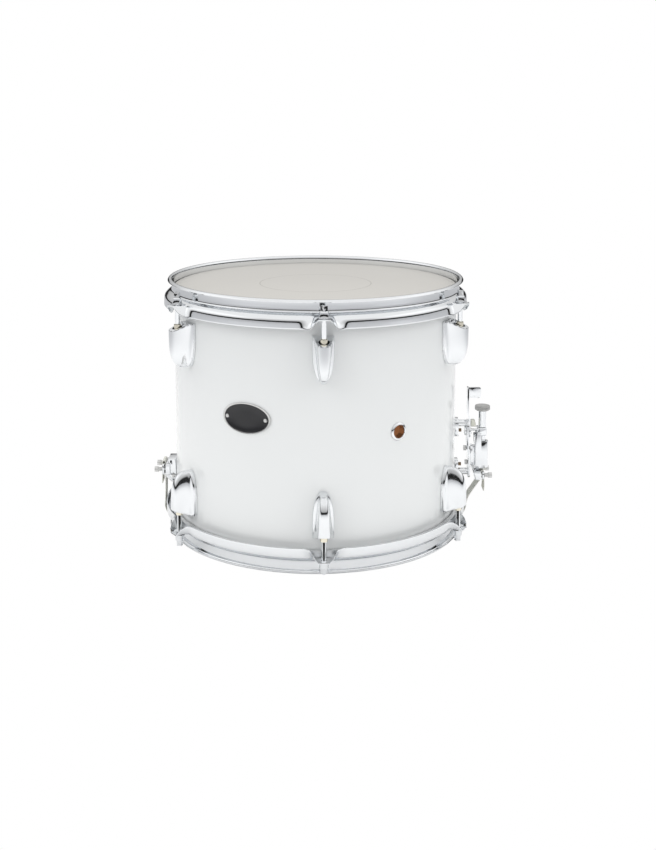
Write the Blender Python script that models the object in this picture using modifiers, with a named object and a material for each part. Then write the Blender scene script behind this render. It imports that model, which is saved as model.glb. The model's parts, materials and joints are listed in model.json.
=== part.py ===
"""A 14 x 12 inch marching snare drum, built as the separate pieces that it comes apart into.

Units are metres and Z is up. The origin is the centre of the batter head's playing face, on the
drum's axis. The strainer is on the +X side, the butt on the -X side, and the front is -Y.
"""

import math

import bmesh
import bpy
from mathutils import Matrix, Vector

MM = 0.001
GAP = 0.3 * MM  # clearance between pieces that touch

# Shell and heads
SHELL_RADIUS = 177.8 * MM
SHELL_WALL = 6.5 * MM
SHELL_DEPTH = 298.4 * MM  # from one head's playing face to the other's
EDGE_ROUND = 1.6 * MM
FILM = 0.4 * MM
RIM_STAND = 9.8 * MM  # how far a hoop's rim stands beyond its head
COLLAR_DEPTH = 9.0 * MM  # how far the head's film turns down over the shell
FLESH_WIDTH = 5.4 * MM
FLESH_TOP = 7.2 * MM
FLESH_BOTTOM = 17.7 * MM
RING_STEPS = 64

# Triple-flanged hoops, of bent sheet
HOOP_SHEET = 1.5 * MM
HOOP_WALL = 180.7 * MM  # radius of the wall's mid-surface
LIP_OUT = 5.0 * MM
WALL_BOTTOM = 14.2 * MM  # depths below the rim
BEND_DEPTH = 22.2 * MM
BEND_RADIUS = 189.7 * MM
SKIRT_DROP = 9.6 * MM
EAR_REACH = 13.2 * MM
EAR_INSET = 1.0 * MM
EAR_RISE = 2.4 * MM
EAR_FLAT = 6.0 * MM  # half the length of an ear's level part, along the hoop
EAR_LOBE = 18.0 * MM  # where its edge is lowest, hanging at the lobe's angle
EAR_END = 27.0 * MM  # where the skirt hangs straight again
LOBE_ANGLE = math.radians(68.0)
GATE_HALF_WIDTH = 13.0 * MM
GATE_LOW = 2.6 * MM
GATE_HIGH = 17.5 * MM

# Tension rods and lugs
LUG_COUNT = 6
FIRST_AZIMUTH = math.radians(2.8)
ROD_CIRCLE = 195.0 * MM
ROD_RADIUS = 2.9 * MM
ROD_HOLE = 3.8 * MM
KEY_SIZE = 6.0 * MM
KEY_TOP = 4.5 * MM  # depths below the rim
KEY_BOTTOM = 10.8 * MM
ROD_COLLAR_RADIUS = 5.3 * MM
ROD_COLLAR_BOTTOM = 17.0 * MM
WASHER_RADIUS = 6.2 * MM
WASHER_THICKNESS = 1.4 * MM
ROD_END = 74.0 * MM
LUG_TOP = 41.6 * MM
LUG_LENGTH = 54.9 * MM
LUG_HALF_WIDTH = 12.7 * MM
LUG_BASE = 5.0 * MM
POD_HALF_WIDTH = 8.3 * MM
POD_HEIGHT = 27.0 * MM
POD_SLANT = 7.7 * MM
LUG_SHARES = (0.0, 0.2, 0.42, 0.62, 0.78, 0.89, 0.955, 0.985)  # of its length, where a section stands
TAPER_START, BOW_START, SLANT_END = 0.35, 0.5, 0.24
NUT_RADIUS = 4.3 * MM
NUT_TOP = 1.2 * MM
NUT_BORE = ROD_RADIUS + 0.5 * MM
POCKET_RADIUS = 6.3 * MM
POCKET_DEPTH = 15.0 * MM

# Vent and badge plate
VENT_AZIMUTH = math.radians(32.85)
VENT_HEIGHT = 157.5 * MM
VENT_BORE = 7.65 * MM
VENT_TUBE = 0.8 * MM
VENT_FLANGE = 10.5 * MM
BADGE_AZIMUTH = math.radians(-26.7)
BADGE_HEIGHT = 175.8 * MM
BADGE_HALF_WIDTH = 31.4 * MM
BADGE_HALF_HEIGHT = 18.2 * MM
BADGE_THICKNESS = 1.2 * MM

# Strainer, on +X. Heights are above the plane that the drum stands on.
FOOT_THICKNESS = 4.7 * MM
FOOT_HALF_WIDTH = 9.0 * MM
UPPER_POST = 126.5 * MM
LOWER_POST = 63.2 * MM
POST_RADIUS = 4.4 * MM
MOUNT_SCREW_OFFSET = 9.4 * MM
MOUNT_SCREW_RADIUS = 1.9 * MM
PLATE_X = 193.9 * MM
PLATE_THICKNESS = 2.4 * MM
PLATE_JOG = 1.9 * MM
PLATE_HALF_WIDTH = 9.0 * MM
PIVOT_HEIGHT = 116.2 * MM
PIVOT_RADIUS = 2.6 * MM
LEVER_SHEET = 1.8 * MM
LEVER_HALF_WIDTH = 5.0 * MM
LEVER_TOP = 172.9 * MM
LEVER_JOG_LOW = 132.0 * MM
LEVER_JOG_HIGH = 138.6 * MM
LEVER_HUB = 8.0 * MM
TAB_REACH = 17.6 * MM
TAB_LOW = 158.2 * MM
CRANK_RADIUS = 5.49 * MM
CRANK_ANGLE = math.radians(30.0)  # above the level line towards the front, at rest
CRANK_PIN = 1.4 * MM
SPINDLE_X = 214.1 * MM
BODY_X = 204.0 * MM
BODY_HALF_WIDTH = 10.0 * MM
BODY_BOTTOM = 69.2 * MM
BODY_INNER_TOP = 114.6 * MM
BLOCK_SWEEP = 111.5 * MM  # the walls stop here where the swung lever's block comes down
BARREL_RADIUS = 7.8 * MM
CARRIAGE_BOTTOM = 111.6 * MM
CARRIAGE_TOP = 121.3 * MM
CARRIAGE_TRAVEL = CRANK_RADIUS * (math.sin(CRANK_ANGLE) + math.cos(CRANK_ANGLE))
SLOT_SLACK = 0.8 * MM  # below the pin, whose drop runs ahead of an even one
BARREL_TOP = CARRIAGE_BOTTOM - CARRIAGE_TRAVEL - 0.8 * MM
TUBE_RADIUS = 4.6 * MM
TUBE_BORE = 3.0 * MM
KNOB_RADIUS = 9.6 * MM
KNOB_BOTTOM = 143.1 * MM
KNOB_TOP = 149.6 * MM
KNOB_POST = 4.95 * MM
STEM_RADIUS = 2.3 * MM
CLAMP_HALF_WIDTH = 20.0 * MM
CLAMP_LOW = 57.2 * MM
CLAMP_HIGH = 66.9 * MM
CLAMP_SLOT_X = 211.3 * MM
STRAP_FOLD = 64.1 * MM  # where the strap starts its turn over the clamp plate
CLAMP_SCREW_Y = 15.0 * MM
CLAMP_SCREW_RADIUS = 3.4 * MM

# Snares and straps
STRAP_WIDTH = 19.5 * MM
STRAP_THICKNESS = 0.9 * MM
STRAND_COUNT = 12
STRAND_SPACING = 3.0 * MM
STRAND_RADIUS = 0.8 * MM
SNARE_HALF_LENGTH = 146.0 * MM
SNARE_HEIGHT = 7.6 * MM

# Butt, on -X
BUTT_FACE = 191.3 * MM
BUTT_HALF_WIDTH = 12.0 * MM
BUTT_SCREW_HEIGHT = 70.0 * MM
BUTT_PLATE_HALF_WIDTH = 18.0 * MM
BUTT_PLATE_LOW = 63.3 * MM
BUTT_PLATE_HIGH = 76.6 * MM
BUTT_SCREW_Y = 14.0 * MM

STAND = SHELL_DEPTH + RIM_STAND  # the origin's height above the plane that the drum stands on
UP, DOWN = 1, -1

for old in list(bpy.data.objects):
    bpy.data.objects.remove(old, do_unlink=True)

pieces = bpy.data.collections.new("marching_snare_drum")
helpers = bpy.data.collections.new("helpers")
helpers.hide_render = True
bpy.context.scene.collection.children.link(pieces)
bpy.context.scene.collection.children.link(helpers)


def material(name, color, roughness, metallic=0.0):
    made = bpy.data.materials.new(name)
    made.use_nodes = True
    shader = made.node_tree.nodes["Principled BSDF"]
    shader.inputs["Base Color"].default_value = (*color, 1.0)
    shader.inputs["Roughness"].default_value = roughness
    shader.inputs["Metallic"].default_value = metallic
    return made


GLOSS_WHITE = material("gloss_white", (0.82, 0.84, 0.84), 0.12)
CHROME = material("chrome", (0.80, 0.82, 0.84), 0.06, 1.0)
SATIN_METAL = material("satin_metal", (0.62, 0.62, 0.60), 0.32, 1.0)
ALUMINIUM = material("aluminium", (0.72, 0.73, 0.74), 0.3, 1.0)
COATED_FILM = material("coated_film", (0.62, 0.60, 0.56), 0.6)
CLEAR_FILM = material("clear_film", (0.80, 0.81, 0.80), 0.25)
CREAM_NYLON = material("cream_nylon", (0.70, 0.70, 0.62), 0.45)
TAPE = material("tape", (0.68, 0.68, 0.62), 0.7)
SNARE_WIRE = material("snare_wire", (0.62, 0.62, 0.60), 0.3, 1.0)
BLACK_PLATE = material("black_plate", (0.015, 0.015, 0.017), 0.3)
DARK_SCREW = material("dark_screw", (0.16, 0.12, 0.09), 0.4, 1.0)


def up(height):
    """Z of a height above the plane that the drum stands on."""
    return height - STAND


def rim_z(side, depth):
    """Z of a depth below the rim of the batter hoop (UP) or above that of the snare hoop (DOWN)."""
    return RIM_STAND - depth if side == UP else depth - STAND


def radial(azimuth):
    """Turns +Y to point inwards at this azimuth, which counts from the front towards +X."""
    return Matrix.Rotation(azimuth, 4, "Z")


def add_object(name, mesh, finish, home=pieces):
    if finish is not None:
        mesh.materials.clear()
        mesh.materials.append(finish)
    made = bpy.data.objects.new(name, mesh)
    home.objects.link(made)
    if home is helpers:
        made.hide_render = True
        made.display_type = "WIRE"
    return made


def mesh_of(name, work):
    """A mesh from a closed bmesh, with its faces turned outwards."""
    bmesh.ops.recalc_face_normals(work, faces=work.faces)
    mesh = bpy.data.meshes.new(name)
    work.to_mesh(mesh)
    work.free()
    return mesh


def box_mesh(name, low, high, bevel=0.0):
    work = bmesh.new()
    low, high = Vector(low), Vector(high)
    bmesh.ops.create_cube(work, size=1.0)
    bmesh.ops.scale(work, vec=high - low, verts=work.verts)
    bmesh.ops.translate(work, vec=(low + high) / 2, verts=work.verts)
    if bevel:
        bmesh.ops.bevel(work, geom=work.edges[:], offset=bevel, segments=1, profile=0.5, affect="EDGES")
    return mesh_of(name, work)


def rod_mesh(name, start, end, radius, sides=12, end_radius=None):
    """A cylinder or a cone between two points."""
    start, end = Vector(start), Vector(end)
    along = end - start
    work = bmesh.new()
    bmesh.ops.create_cone(
        work,
        cap_ends=True,
        segments=sides,
        radius1=radius,
        radius2=radius if end_radius is None else end_radius,
        depth=along.length,
    )
    turn = along.to_track_quat("Z", "Y").to_matrix().to_4x4()
    bmesh.ops.transform(work, matrix=Matrix.Translation((start + end) / 2) @ turn, verts=work.verts)
    return mesh_of(name, work)


def prism_mesh(name, outline, low_y, high_y, bevel=0.0):
    """An outline in X and Z, made solid from low_y to high_y."""
    work = bmesh.new()
    face = work.faces.new([work.verts.new((x, low_y, z)) for x, z in outline])
    grown = bmesh.ops.extrude_face_region(work, geom=[face])["geom"]
    moved = [v for v in grown if isinstance(v, bmesh.types.BMVert)]
    bmesh.ops.translate(work, vec=(0, high_y - low_y, 0), verts=moved)
    if bevel:
        bmesh.ops.bevel(work, geom=work.edges[:], offset=bevel, segments=1, profile=0.5, affect="EDGES")
    return mesh_of(name, work)


def plate_mesh(name, outline, low_x, high_x):
    """An outline in Y and Z, made solid from low_x to high_x."""
    work = bmesh.new()
    face = work.faces.new([work.verts.new((low_x, y, z)) for y, z in outline])
    grown = bmesh.ops.extrude_face_region(work, geom=[face])["geom"]
    moved = [v for v in grown if isinstance(v, bmesh.types.BMVert)]
    bmesh.ops.translate(work, vec=(high_x - low_x, 0, 0), verts=moved)
    return mesh_of(name, work)


def turned(name, profile, finish, steps=RING_STEPS, closed=False, home=pieces):
    """A profile of (radius, z) points, which runs down its outer side, turned round Z."""
    mesh = bpy.data.meshes.new(name)
    edges = [(i, i + 1) for i in range(len(profile) - 1)]
    if closed:
        edges.append((len(profile) - 1, 0))
    mesh.from_pydata([(r, 0, z) for r, z in profile], edges, [])
    made = add_object(name, mesh, finish, home)
    screw = made.modifiers.new("turn", "SCREW")
    screw.steps = screw.render_steps = steps
    screw.use_merge_vertices = True
    screw.merge_threshold = 0.00001
    screw.use_smooth_shade = True
    return made


def boolean(target, operation, other):
    cut = target.modifiers.new(operation.lower(), "BOOLEAN")
    cut.operation = operation
    cut.object = other
    return cut


def solid(name, base, finish, joins=(), cuts=()):
    """An object from a base mesh, with other meshes joined to it and then cut from it."""
    made = add_object(name, base, finish)
    for count, mesh in enumerate(joins):
        boolean(made, "UNION", add_object(f"{name}_join_{count}", mesh, None, helpers))
    for count, mesh in enumerate(cuts):
        boolean(made, "DIFFERENCE", add_object(f"{name}_cut_{count}", mesh, None, helpers))
    return made


def baked(made):
    """The object's mesh with its modifiers applied, for pieces that share it. The object goes."""
    bpy.context.view_layer.update()
    graph = bpy.context.evaluated_depsgraph_get()
    mesh = bpy.data.meshes.new_from_object(made.evaluated_get(graph))
    mesh.name = made.name
    bpy.data.objects.remove(made, do_unlink=True)
    return mesh


def rounded_outline(half_width, low, high, radius, segments=4):
    """A rectangle in (across, z) with rounded corners, counted round from its lower left corner."""
    corners = (
        (-half_width + radius, low + radius, 180),
        (half_width - radius, low + radius, 270),
        (half_width - radius, high - radius, 0),
        (-half_width + radius, high - radius, 90),
    )
    points = []
    for across, z, start in corners:
        for step in range(segments + 1):
            angle = math.radians(start + 90 * step / segments)
            points.append((across + radius * math.cos(angle), z + radius * math.sin(angle)))
    return points


def smooth(share):
    """0 to 1 with level ends."""
    share = min(max(share, 0.0), 1.0)
    return share * share * (3 - 2 * share)


def rod_azimuths():
    return [FIRST_AZIMUTH + math.tau * k / LUG_COUNT for k in range(LUG_COUNT)]


def on_circle(radius, azimuth, z):
    return (radius * math.sin(azimuth), -radius * math.cos(azimuth), z)


def make_shell():
    inner = SHELL_RADIUS - SHELL_WALL
    top = -FILM - GAP
    bottom = -SHELL_DEPTH + FILM + GAP
    crown = SHELL_RADIUS - EDGE_ROUND
    bevel_depth = SHELL_WALL - EDGE_ROUND
    profile = [
        (crown, top),
        (SHELL_RADIUS, top - EDGE_ROUND),
        (SHELL_RADIUS, bottom + EDGE_ROUND),
        (crown, bottom),
        (inner, bottom + bevel_depth),
        (inner, top - bevel_depth),
    ]
    shell = turned("shell", profile, GLOSS_WHITE, closed=True)
    hole = VENT_BORE + VENT_TUBE + GAP
    start = on_circle(SHELL_RADIUS - 3 * SHELL_WALL, VENT_AZIMUTH, up(VENT_HEIGHT))
    end = on_circle(SHELL_RADIUS + SHELL_WALL, VENT_AZIMUTH, up(VENT_HEIGHT))
    cutters = [rod_mesh("vent_hole", start, end, hole, 16)]
    for height in mount_screw_heights():
        cutters.append(screw_hole("strainer_screw_hole", 1, height, MOUNT_SCREW_RADIUS + GAP))
    for height in butt_mount_heights():
        cutters.append(screw_hole("butt_screw_hole", -1, height, MOUNT_SCREW_RADIUS + GAP))
    for mesh in cutters:
        boolean(shell, "DIFFERENCE", add_object(mesh.name, mesh, None, helpers))


def mount_screw_heights():
    return (UPPER_POST - MOUNT_SCREW_OFFSET, LOWER_POST + MOUNT_SCREW_OFFSET)


def butt_mount_heights():
    return (78.5 * MM, 55.5 * MM)


def screw_hole(name, side, height, radius):
    return rod_mesh(
        name,
        (side * (SHELL_RADIUS - 3 * SHELL_WALL), 0, up(height)),
        (side * (SHELL_RADIUS + 2 * SHELL_WALL), 0, up(height)),
        radius,
        8,
    )


def make_head(side, name, finish):
    """A film disc whose edge turns down over the shell, and the ring that carries it."""
    outer = SHELL_RADIUS + 2 * GAP + FILM + 0.1 * MM
    down = [
        (0.0, 0.0),
        (SHELL_RADIUS - 1.2 * MM, 0.0),
        (outer - 0.6 * MM, -0.9 * MM),
        (outer, -2.5 * MM),
        (outer, -COLLAR_DEPTH),
    ]
    back = [
        (outer - FILM, -COLLAR_DEPTH),
        (outer - FILM, -2.6 * MM),
        (outer - 0.9 * MM, -1.25 * MM),
        (SHELL_RADIUS - 1.3 * MM, -FILM),
        (0.0, -FILM),
    ]
    flesh_in = outer + GAP
    ring = [
        (flesh_in, -FLESH_TOP),
        (flesh_in + 0.55 * FLESH_WIDTH, -FLESH_TOP - 0.4 * MM),
        (flesh_in + FLESH_WIDTH, -FLESH_TOP - 2.6 * MM),
        (flesh_in + FLESH_WIDTH, -FLESH_BOTTOM),
        (flesh_in, -FLESH_BOTTOM),
    ]
    film_profile = down + back
    if side == DOWN:
        film_profile = [(r, -SHELL_DEPTH - z) for r, z in reversed(film_profile)]
        ring = [(r, -SHELL_DEPTH - z) for r, z in reversed(ring)]
    turned(f"{name}_head", film_profile, finish)
    turned(f"{name}_flesh_hoop", ring, ALUMINIUM, closed=True)


def skirt_angle(along):
    """How steeply the skirt hangs at a distance along the hoop from the nearest rod."""
    lobe = LOBE_ANGLE * smooth((along - EAR_FLAT) / (EAR_LOBE - EAR_FLAT))
    rest = (math.radians(90) - LOBE_ANGLE) * smooth((along - EAR_LOBE) / (EAR_END - EAR_LOBE))
    return lobe + rest


def hoop_section(along):
    """The sheet's mid-surface at a distance along the hoop from the nearest rod: (radius, depth)."""
    angle = skirt_angle(along)
    turn_up = 1 - angle / math.radians(90)
    length = SKIRT_DROP + (EAR_REACH + EAR_INSET - SKIRT_DROP) * turn_up
    bend = BEND_RADIUS - EAR_INSET * turn_up
    depth = BEND_DEPTH - EAR_RISE * turn_up
    lip = HOOP_WALL + LIP_OUT
    half = HOOP_SHEET / 2
    return [
        (lip, 2.3 * MM),
        (lip - 1.5 * MM, half),
        (lip - 3.7 * MM, half),
        (HOOP_WALL, 2.6 * MM),
        (HOOP_WALL, WALL_BOTTOM),
        (HOOP_WALL + 5.0 * MM - 1.1 * MM * turn_up, WALL_BOTTOM + 3.6 * MM - 0.2 * MM * turn_up),
        (bend, depth),
        (bend + length * math.cos(angle) + 0.5 * MM, depth + length * math.sin(angle)),
    ]


def hoop_azimuths():
    """Azimuths of the hoop's sections, close together at the ears."""
    lobe_steps = [EAR_FLAT + (EAR_LOBE - EAR_FLAT) * k / 4 for k in range(5)]
    near = [o / BEND_RADIUS for o in [0.0] + lobe_steps + [(EAR_LOBE + EAR_END) / 2, EAR_END]]
    step = math.tau / LUG_COUNT
    plain = 3
    spread = [near[-1] + (step - 2 * near[-1]) * k / (plain + 1) for k in range(1, plain + 1)]
    within = near + spread + [step - n for n in reversed(near[1:])]
    return [(k * step + a) for k in range(LUG_COUNT) for a in within], step


def make_hoop(side, name):
    """A ring of unlike sections of bent sheet: the skirt turns up into an ear at each rod."""
    offsets, step = hoop_azimuths()
    work = bmesh.new()
    rings = []
    for offset in offsets:
        nearest = min(offset % step, step - offset % step) * BEND_RADIUS
        rings.append(
            [
                work.verts.new(on_circle(r, FIRST_AZIMUTH + offset, rim_z(side, depth)))
                for r, depth in hoop_section(nearest)
            ]
        )
    for here, there in zip(rings, rings[1:] + rings[:1]):
        for k in range(len(here) - 1):
            work.faces.new((here[k], there[k], there[k + 1], here[k + 1]))
    mesh = bpy.data.meshes.new(name)
    work.to_mesh(mesh)
    work.free()
    hoop = add_object(name, mesh, CHROME)
    sheet = hoop.modifiers.new("sheet", "SOLIDIFY")
    sheet.thickness = HOOP_SHEET
    sheet.offset = 0.0
    sheet.use_even_offset = True
    if side == UP:
        hoop.modifiers["sheet"].use_flip_normals = False
    for count, azimuth in enumerate(rod_azimuths()):
        hole = rod_mesh(
            f"{name}_rod_hole_{count}",
            on_circle(ROD_CIRCLE, azimuth, rim_z(side, KEY_BOTTOM)),
            on_circle(ROD_CIRCLE, azimuth, rim_z(side, 2.2 * BEND_DEPTH)),
            ROD_HOLE,
            8,
        )
        boolean(hoop, "DIFFERENCE", add_object(hole.name, hole, None, helpers))
    return hoop


def make_gates(hoop):
    """The two openings in the snare hoop's wall, where the straps pass out."""
    for sign in (1, -1):
        inner, outer = sorted((sign * (HOOP_WALL - 6 * MM), sign * (BEND_RADIUS - 1.0 * MM)))
        cutter = box_mesh(
            f"gate_{sign}",
            (inner, -GATE_HALF_WIDTH, up(GATE_LOW)),
            (outer, GATE_HALF_WIDTH, up(GATE_HIGH)),
        )
        boolean(hoop, "DIFFERENCE", add_object(cutter.name, cutter, None, helpers))


def lug_outline(share):
    """The right half of a lug's section at a share of its length: (across, height), edge to crest."""
    taper = max(0.0, (share - TAPER_START) / (1 - TAPER_START))
    width = LUG_HALF_WIDTH * math.sqrt(1 - taper**2.1)
    bow = max(0.0, (share - BOW_START) / (1 - BOW_START))
    crest = POD_HEIGHT * (1 - bow**2.2) ** 0.31
    pod = min(POD_HALF_WIDTH * (1 - 0.12 * share - 0.58 * share**3), 0.8 * width)
    flare = 3.2 * MM * max(0.0, 1 - share / TAPER_START) ** 1.5 + 0.9 * MM
    root = min(pod + flare, 0.93 * width)
    rise = crest - LUG_BASE
    return [
        (width, 0.0),
        (width, 0.7 * LUG_BASE),
        (0.94 * width, LUG_BASE),
        (root, LUG_BASE + 0.04 * rise),
        (0.55 * root + 0.45 * pod, LUG_BASE + 0.25 * rise),
        (0.15 * root + 0.85 * pod, LUG_BASE + 0.6 * rise),
        (0.9 * pod, LUG_BASE + 0.91 * rise),
        (0.5 * pod, crest),
    ]


def lug_mesh():
    """One lug as a loft from its slanted open top to its blunt tip, with the nut in its pocket."""
    work = bmesh.new()
    rings = []
    for share in LUG_SHARES:
        half = lug_outline(share)
        outline = half + [(-x, y) for x, y in reversed(half)] + [(0.0, 0.0)]
        ring = []
        for across, height in outline:
            slant = POD_SLANT * max(0.0, height - LUG_BASE) / (POD_HEIGHT - LUG_BASE)
            drop = share * LUG_LENGTH + slant * max(0.0, 1 - share / SLANT_END)
            reach = math.sqrt((SHELL_RADIUS + GAP + height) ** 2 - across**2)
            ring.append(work.verts.new((across, -reach, -drop)))
        rings.append(ring)
    for here, there in zip(rings, rings[1:]):
        for k in range(len(here)):
            after = (k + 1) % len(here)
            work.faces.new((here[k], here[after], there[after], there[k]))
    work.faces.new(rings[0])
    work.faces.new(rings[-1])
    bmesh.ops.triangulate(work, faces=[f for f in work.faces if len(f.verts) > 4])
    body = solid(
        "lug",
        mesh_of("lug", work),
        CHROME,
        cuts=[
            rod_mesh(
                "pocket", (0, -ROD_CIRCLE, 3 * MM), (0, -ROD_CIRCLE, -POCKET_DEPTH), POCKET_RADIUS, 12
            )
        ],
    )
    nut = rod_mesh(
        "nut",
        (0, -ROD_CIRCLE, -NUT_TOP),
        (0, -ROD_CIRCLE, -POCKET_DEPTH - 2 * MM),
        NUT_RADIUS,
        12,
    )
    boolean(body, "UNION", add_object("lug_nut", nut, None, helpers))
    bore_end = -(ROD_END - LUG_TOP + 3 * MM)
    bore = rod_mesh("bore", (0, -ROD_CIRCLE, 3 * MM), (0, -ROD_CIRCLE, bore_end), NUT_BORE, 12)
    boolean(body, "DIFFERENCE", add_object("lug_bore", bore, None, helpers))
    return baked(body)


def make_lugs():
    """Twelve lugs, six to a hoop. The mesh's own place is on the drum's axis, with its top at Z 0."""
    mesh = lug_mesh()
    for side, name in ((UP, "batter"), (DOWN, "snare")):
        for count, azimuth in enumerate(rod_azimuths()):
            lug = add_object(f"{name}_lug_{count + 1}", mesh, CHROME)
            turn = radial(azimuth)
            if side == DOWN:
                turn = turn @ Matrix.Rotation(math.pi, 4, "Y")
            lug.matrix_world = Matrix.Translation((0, 0, rim_z(side, LUG_TOP))) @ turn


def tension_rod_mesh():
    """A rod with its square key head, collar and washer. Z 0 is the rim's height."""
    washer_top = -ROD_COLLAR_BOTTOM
    profile = [
        (0.0, -KEY_BOTTOM),
        (ROD_COLLAR_RADIUS - 0.6 * MM, -KEY_BOTTOM),
        (ROD_COLLAR_RADIUS, -KEY_BOTTOM - 0.8 * MM),
        (ROD_COLLAR_RADIUS, washer_top),
        (WASHER_RADIUS, washer_top),
        (WASHER_RADIUS, washer_top - WASHER_THICKNESS),
        (ROD_RADIUS, washer_top - WASHER_THICKNESS),
        (ROD_RADIUS, -ROD_END),
        (0.0, -ROD_END),
    ]
    rod = turned("tension_rod", profile, CHROME, steps=10)
    half = KEY_SIZE / 2
    key = box_mesh("key", (-half, -half, -KEY_BOTTOM - 1 * MM), (half, half, -KEY_TOP))
    boolean(rod, "UNION", add_object("key", key, None, helpers))
    return baked(rod)


def make_rods():
    mesh = tension_rod_mesh()
    for side, name in ((UP, "batter"), (DOWN, "snare")):
        for count, azimuth in enumerate(rod_azimuths()):
            rod = add_object(f"{name}_tension_rod_{count + 1}", mesh, CHROME)
            turn = radial(azimuth + math.radians(45))
            if side == DOWN:
                turn = turn @ Matrix.Rotation(math.pi, 4, "Y")
            place = Matrix.Translation(on_circle(ROD_CIRCLE, azimuth, rim_z(side, 0)))
            rod.matrix_world = place @ turn


def make_vent():
    """A flanged metal grommet through the shell, turned round its own axis."""
    reach = SHELL_WALL
    profile = [
        (VENT_BORE + 0.4 * MM, 1.9 * MM),
        (VENT_FLANGE - 1.0 * MM, 1.5 * MM),
        (VENT_FLANGE, 0.5 * MM),
        (VENT_BORE + VENT_TUBE, 0.4 * MM),
        (VENT_BORE + VENT_TUBE, -reach - 0.5 * MM),
        (VENT_FLANGE - 0.8 * MM, -reach - 0.7 * MM),
        (VENT_FLANGE - 0.8 * MM, -reach - 1.7 * MM),
        (VENT_BORE, -reach - 1.7 * MM),
        (VENT_BORE, 1.2 * MM),
    ]
    vent = turned("vent_grommet", profile, CHROME, steps=20, closed=True)
    outward = Vector(on_circle(1.0, VENT_AZIMUTH, 0.0))
    turn = outward.to_track_quat("Z", "Y").to_matrix().to_4x4()
    place = Matrix.Translation(on_circle(SHELL_RADIUS, VENT_AZIMUTH, up(VENT_HEIGHT)))
    vent.matrix_world = place @ turn


def make_badge():
    """A plain oval plate with a raised border and two rivets, bent round the shell."""
    work = bmesh.new()
    around = 28
    levels = [(1.0, 0.0), (1.0, BADGE_THICKNESS), (0.93, BADGE_THICKNESS), (0.9, 0.72 * BADGE_THICKNESS)]
    levels += [(0.45, 0.72 * BADGE_THICKNESS)]
    rings = []
    for scale, height in levels:
        ring = []
        for k in range(around):
            angle = math.tau * k / around
            across = BADGE_HALF_WIDTH * scale * math.cos(angle)
            z = BADGE_HALF_HEIGHT * scale * math.sin(angle)
            reach = math.sqrt((SHELL_RADIUS + GAP + height) ** 2 - across**2)
            ring.append(work.verts.new((across, -reach, z)))
        rings.append(ring)
    for here, there in zip(rings, rings[1:]):
        for k in range(around):
            after = (k + 1) % around
            work.faces.new((here[k], here[after], there[after], there[k]))
    front = work.verts.new((0, -(SHELL_RADIUS + GAP + 0.72 * BADGE_THICKNESS), 0))
    back_ring = []
    for k in range(around):
        angle = math.tau * k / around
        across = 0.45 * BADGE_HALF_WIDTH * math.cos(angle)
        reach = math.sqrt((SHELL_RADIUS + GAP) ** 2 - across**2)
        back_ring.append(work.verts.new((across, -reach, 0.45 * BADGE_HALF_HEIGHT * math.sin(angle))))
    back = work.verts.new((0, -(SHELL_RADIUS + GAP), 0))
    for k in range(around):
        after = (k + 1) % around
        work.faces.new((rings[-1][k], rings[-1][after], front))
        work.faces.new((rings[0][after], rings[0][k], back_ring[k], back_ring[after]))
        work.faces.new((back_ring[after], back_ring[k], back))
    rivets = []
    for sign in (-1, 1):
        across = sign * 0.8 * BADGE_HALF_WIDTH
        reach = math.sqrt((SHELL_RADIUS + GAP) ** 2 - across**2)
        rivets.append(
            rod_mesh(
                f"rivet_{sign}", (across, -reach - 0.3 * MM, 0), (across, -reach - 2.0 * MM, 0), 2.0 * MM, 10
            )
        )
    badge = solid("badge_plate", mesh_of("badge_plate", work), BLACK_PLATE, joins=rivets)
    place = Matrix.Translation((0, 0, up(BADGE_HEIGHT))) @ radial(BADGE_AZIMUTH)
    badge.matrix_world = place
    for modifier in badge.modifiers:
        modifier.object.matrix_world = place


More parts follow.
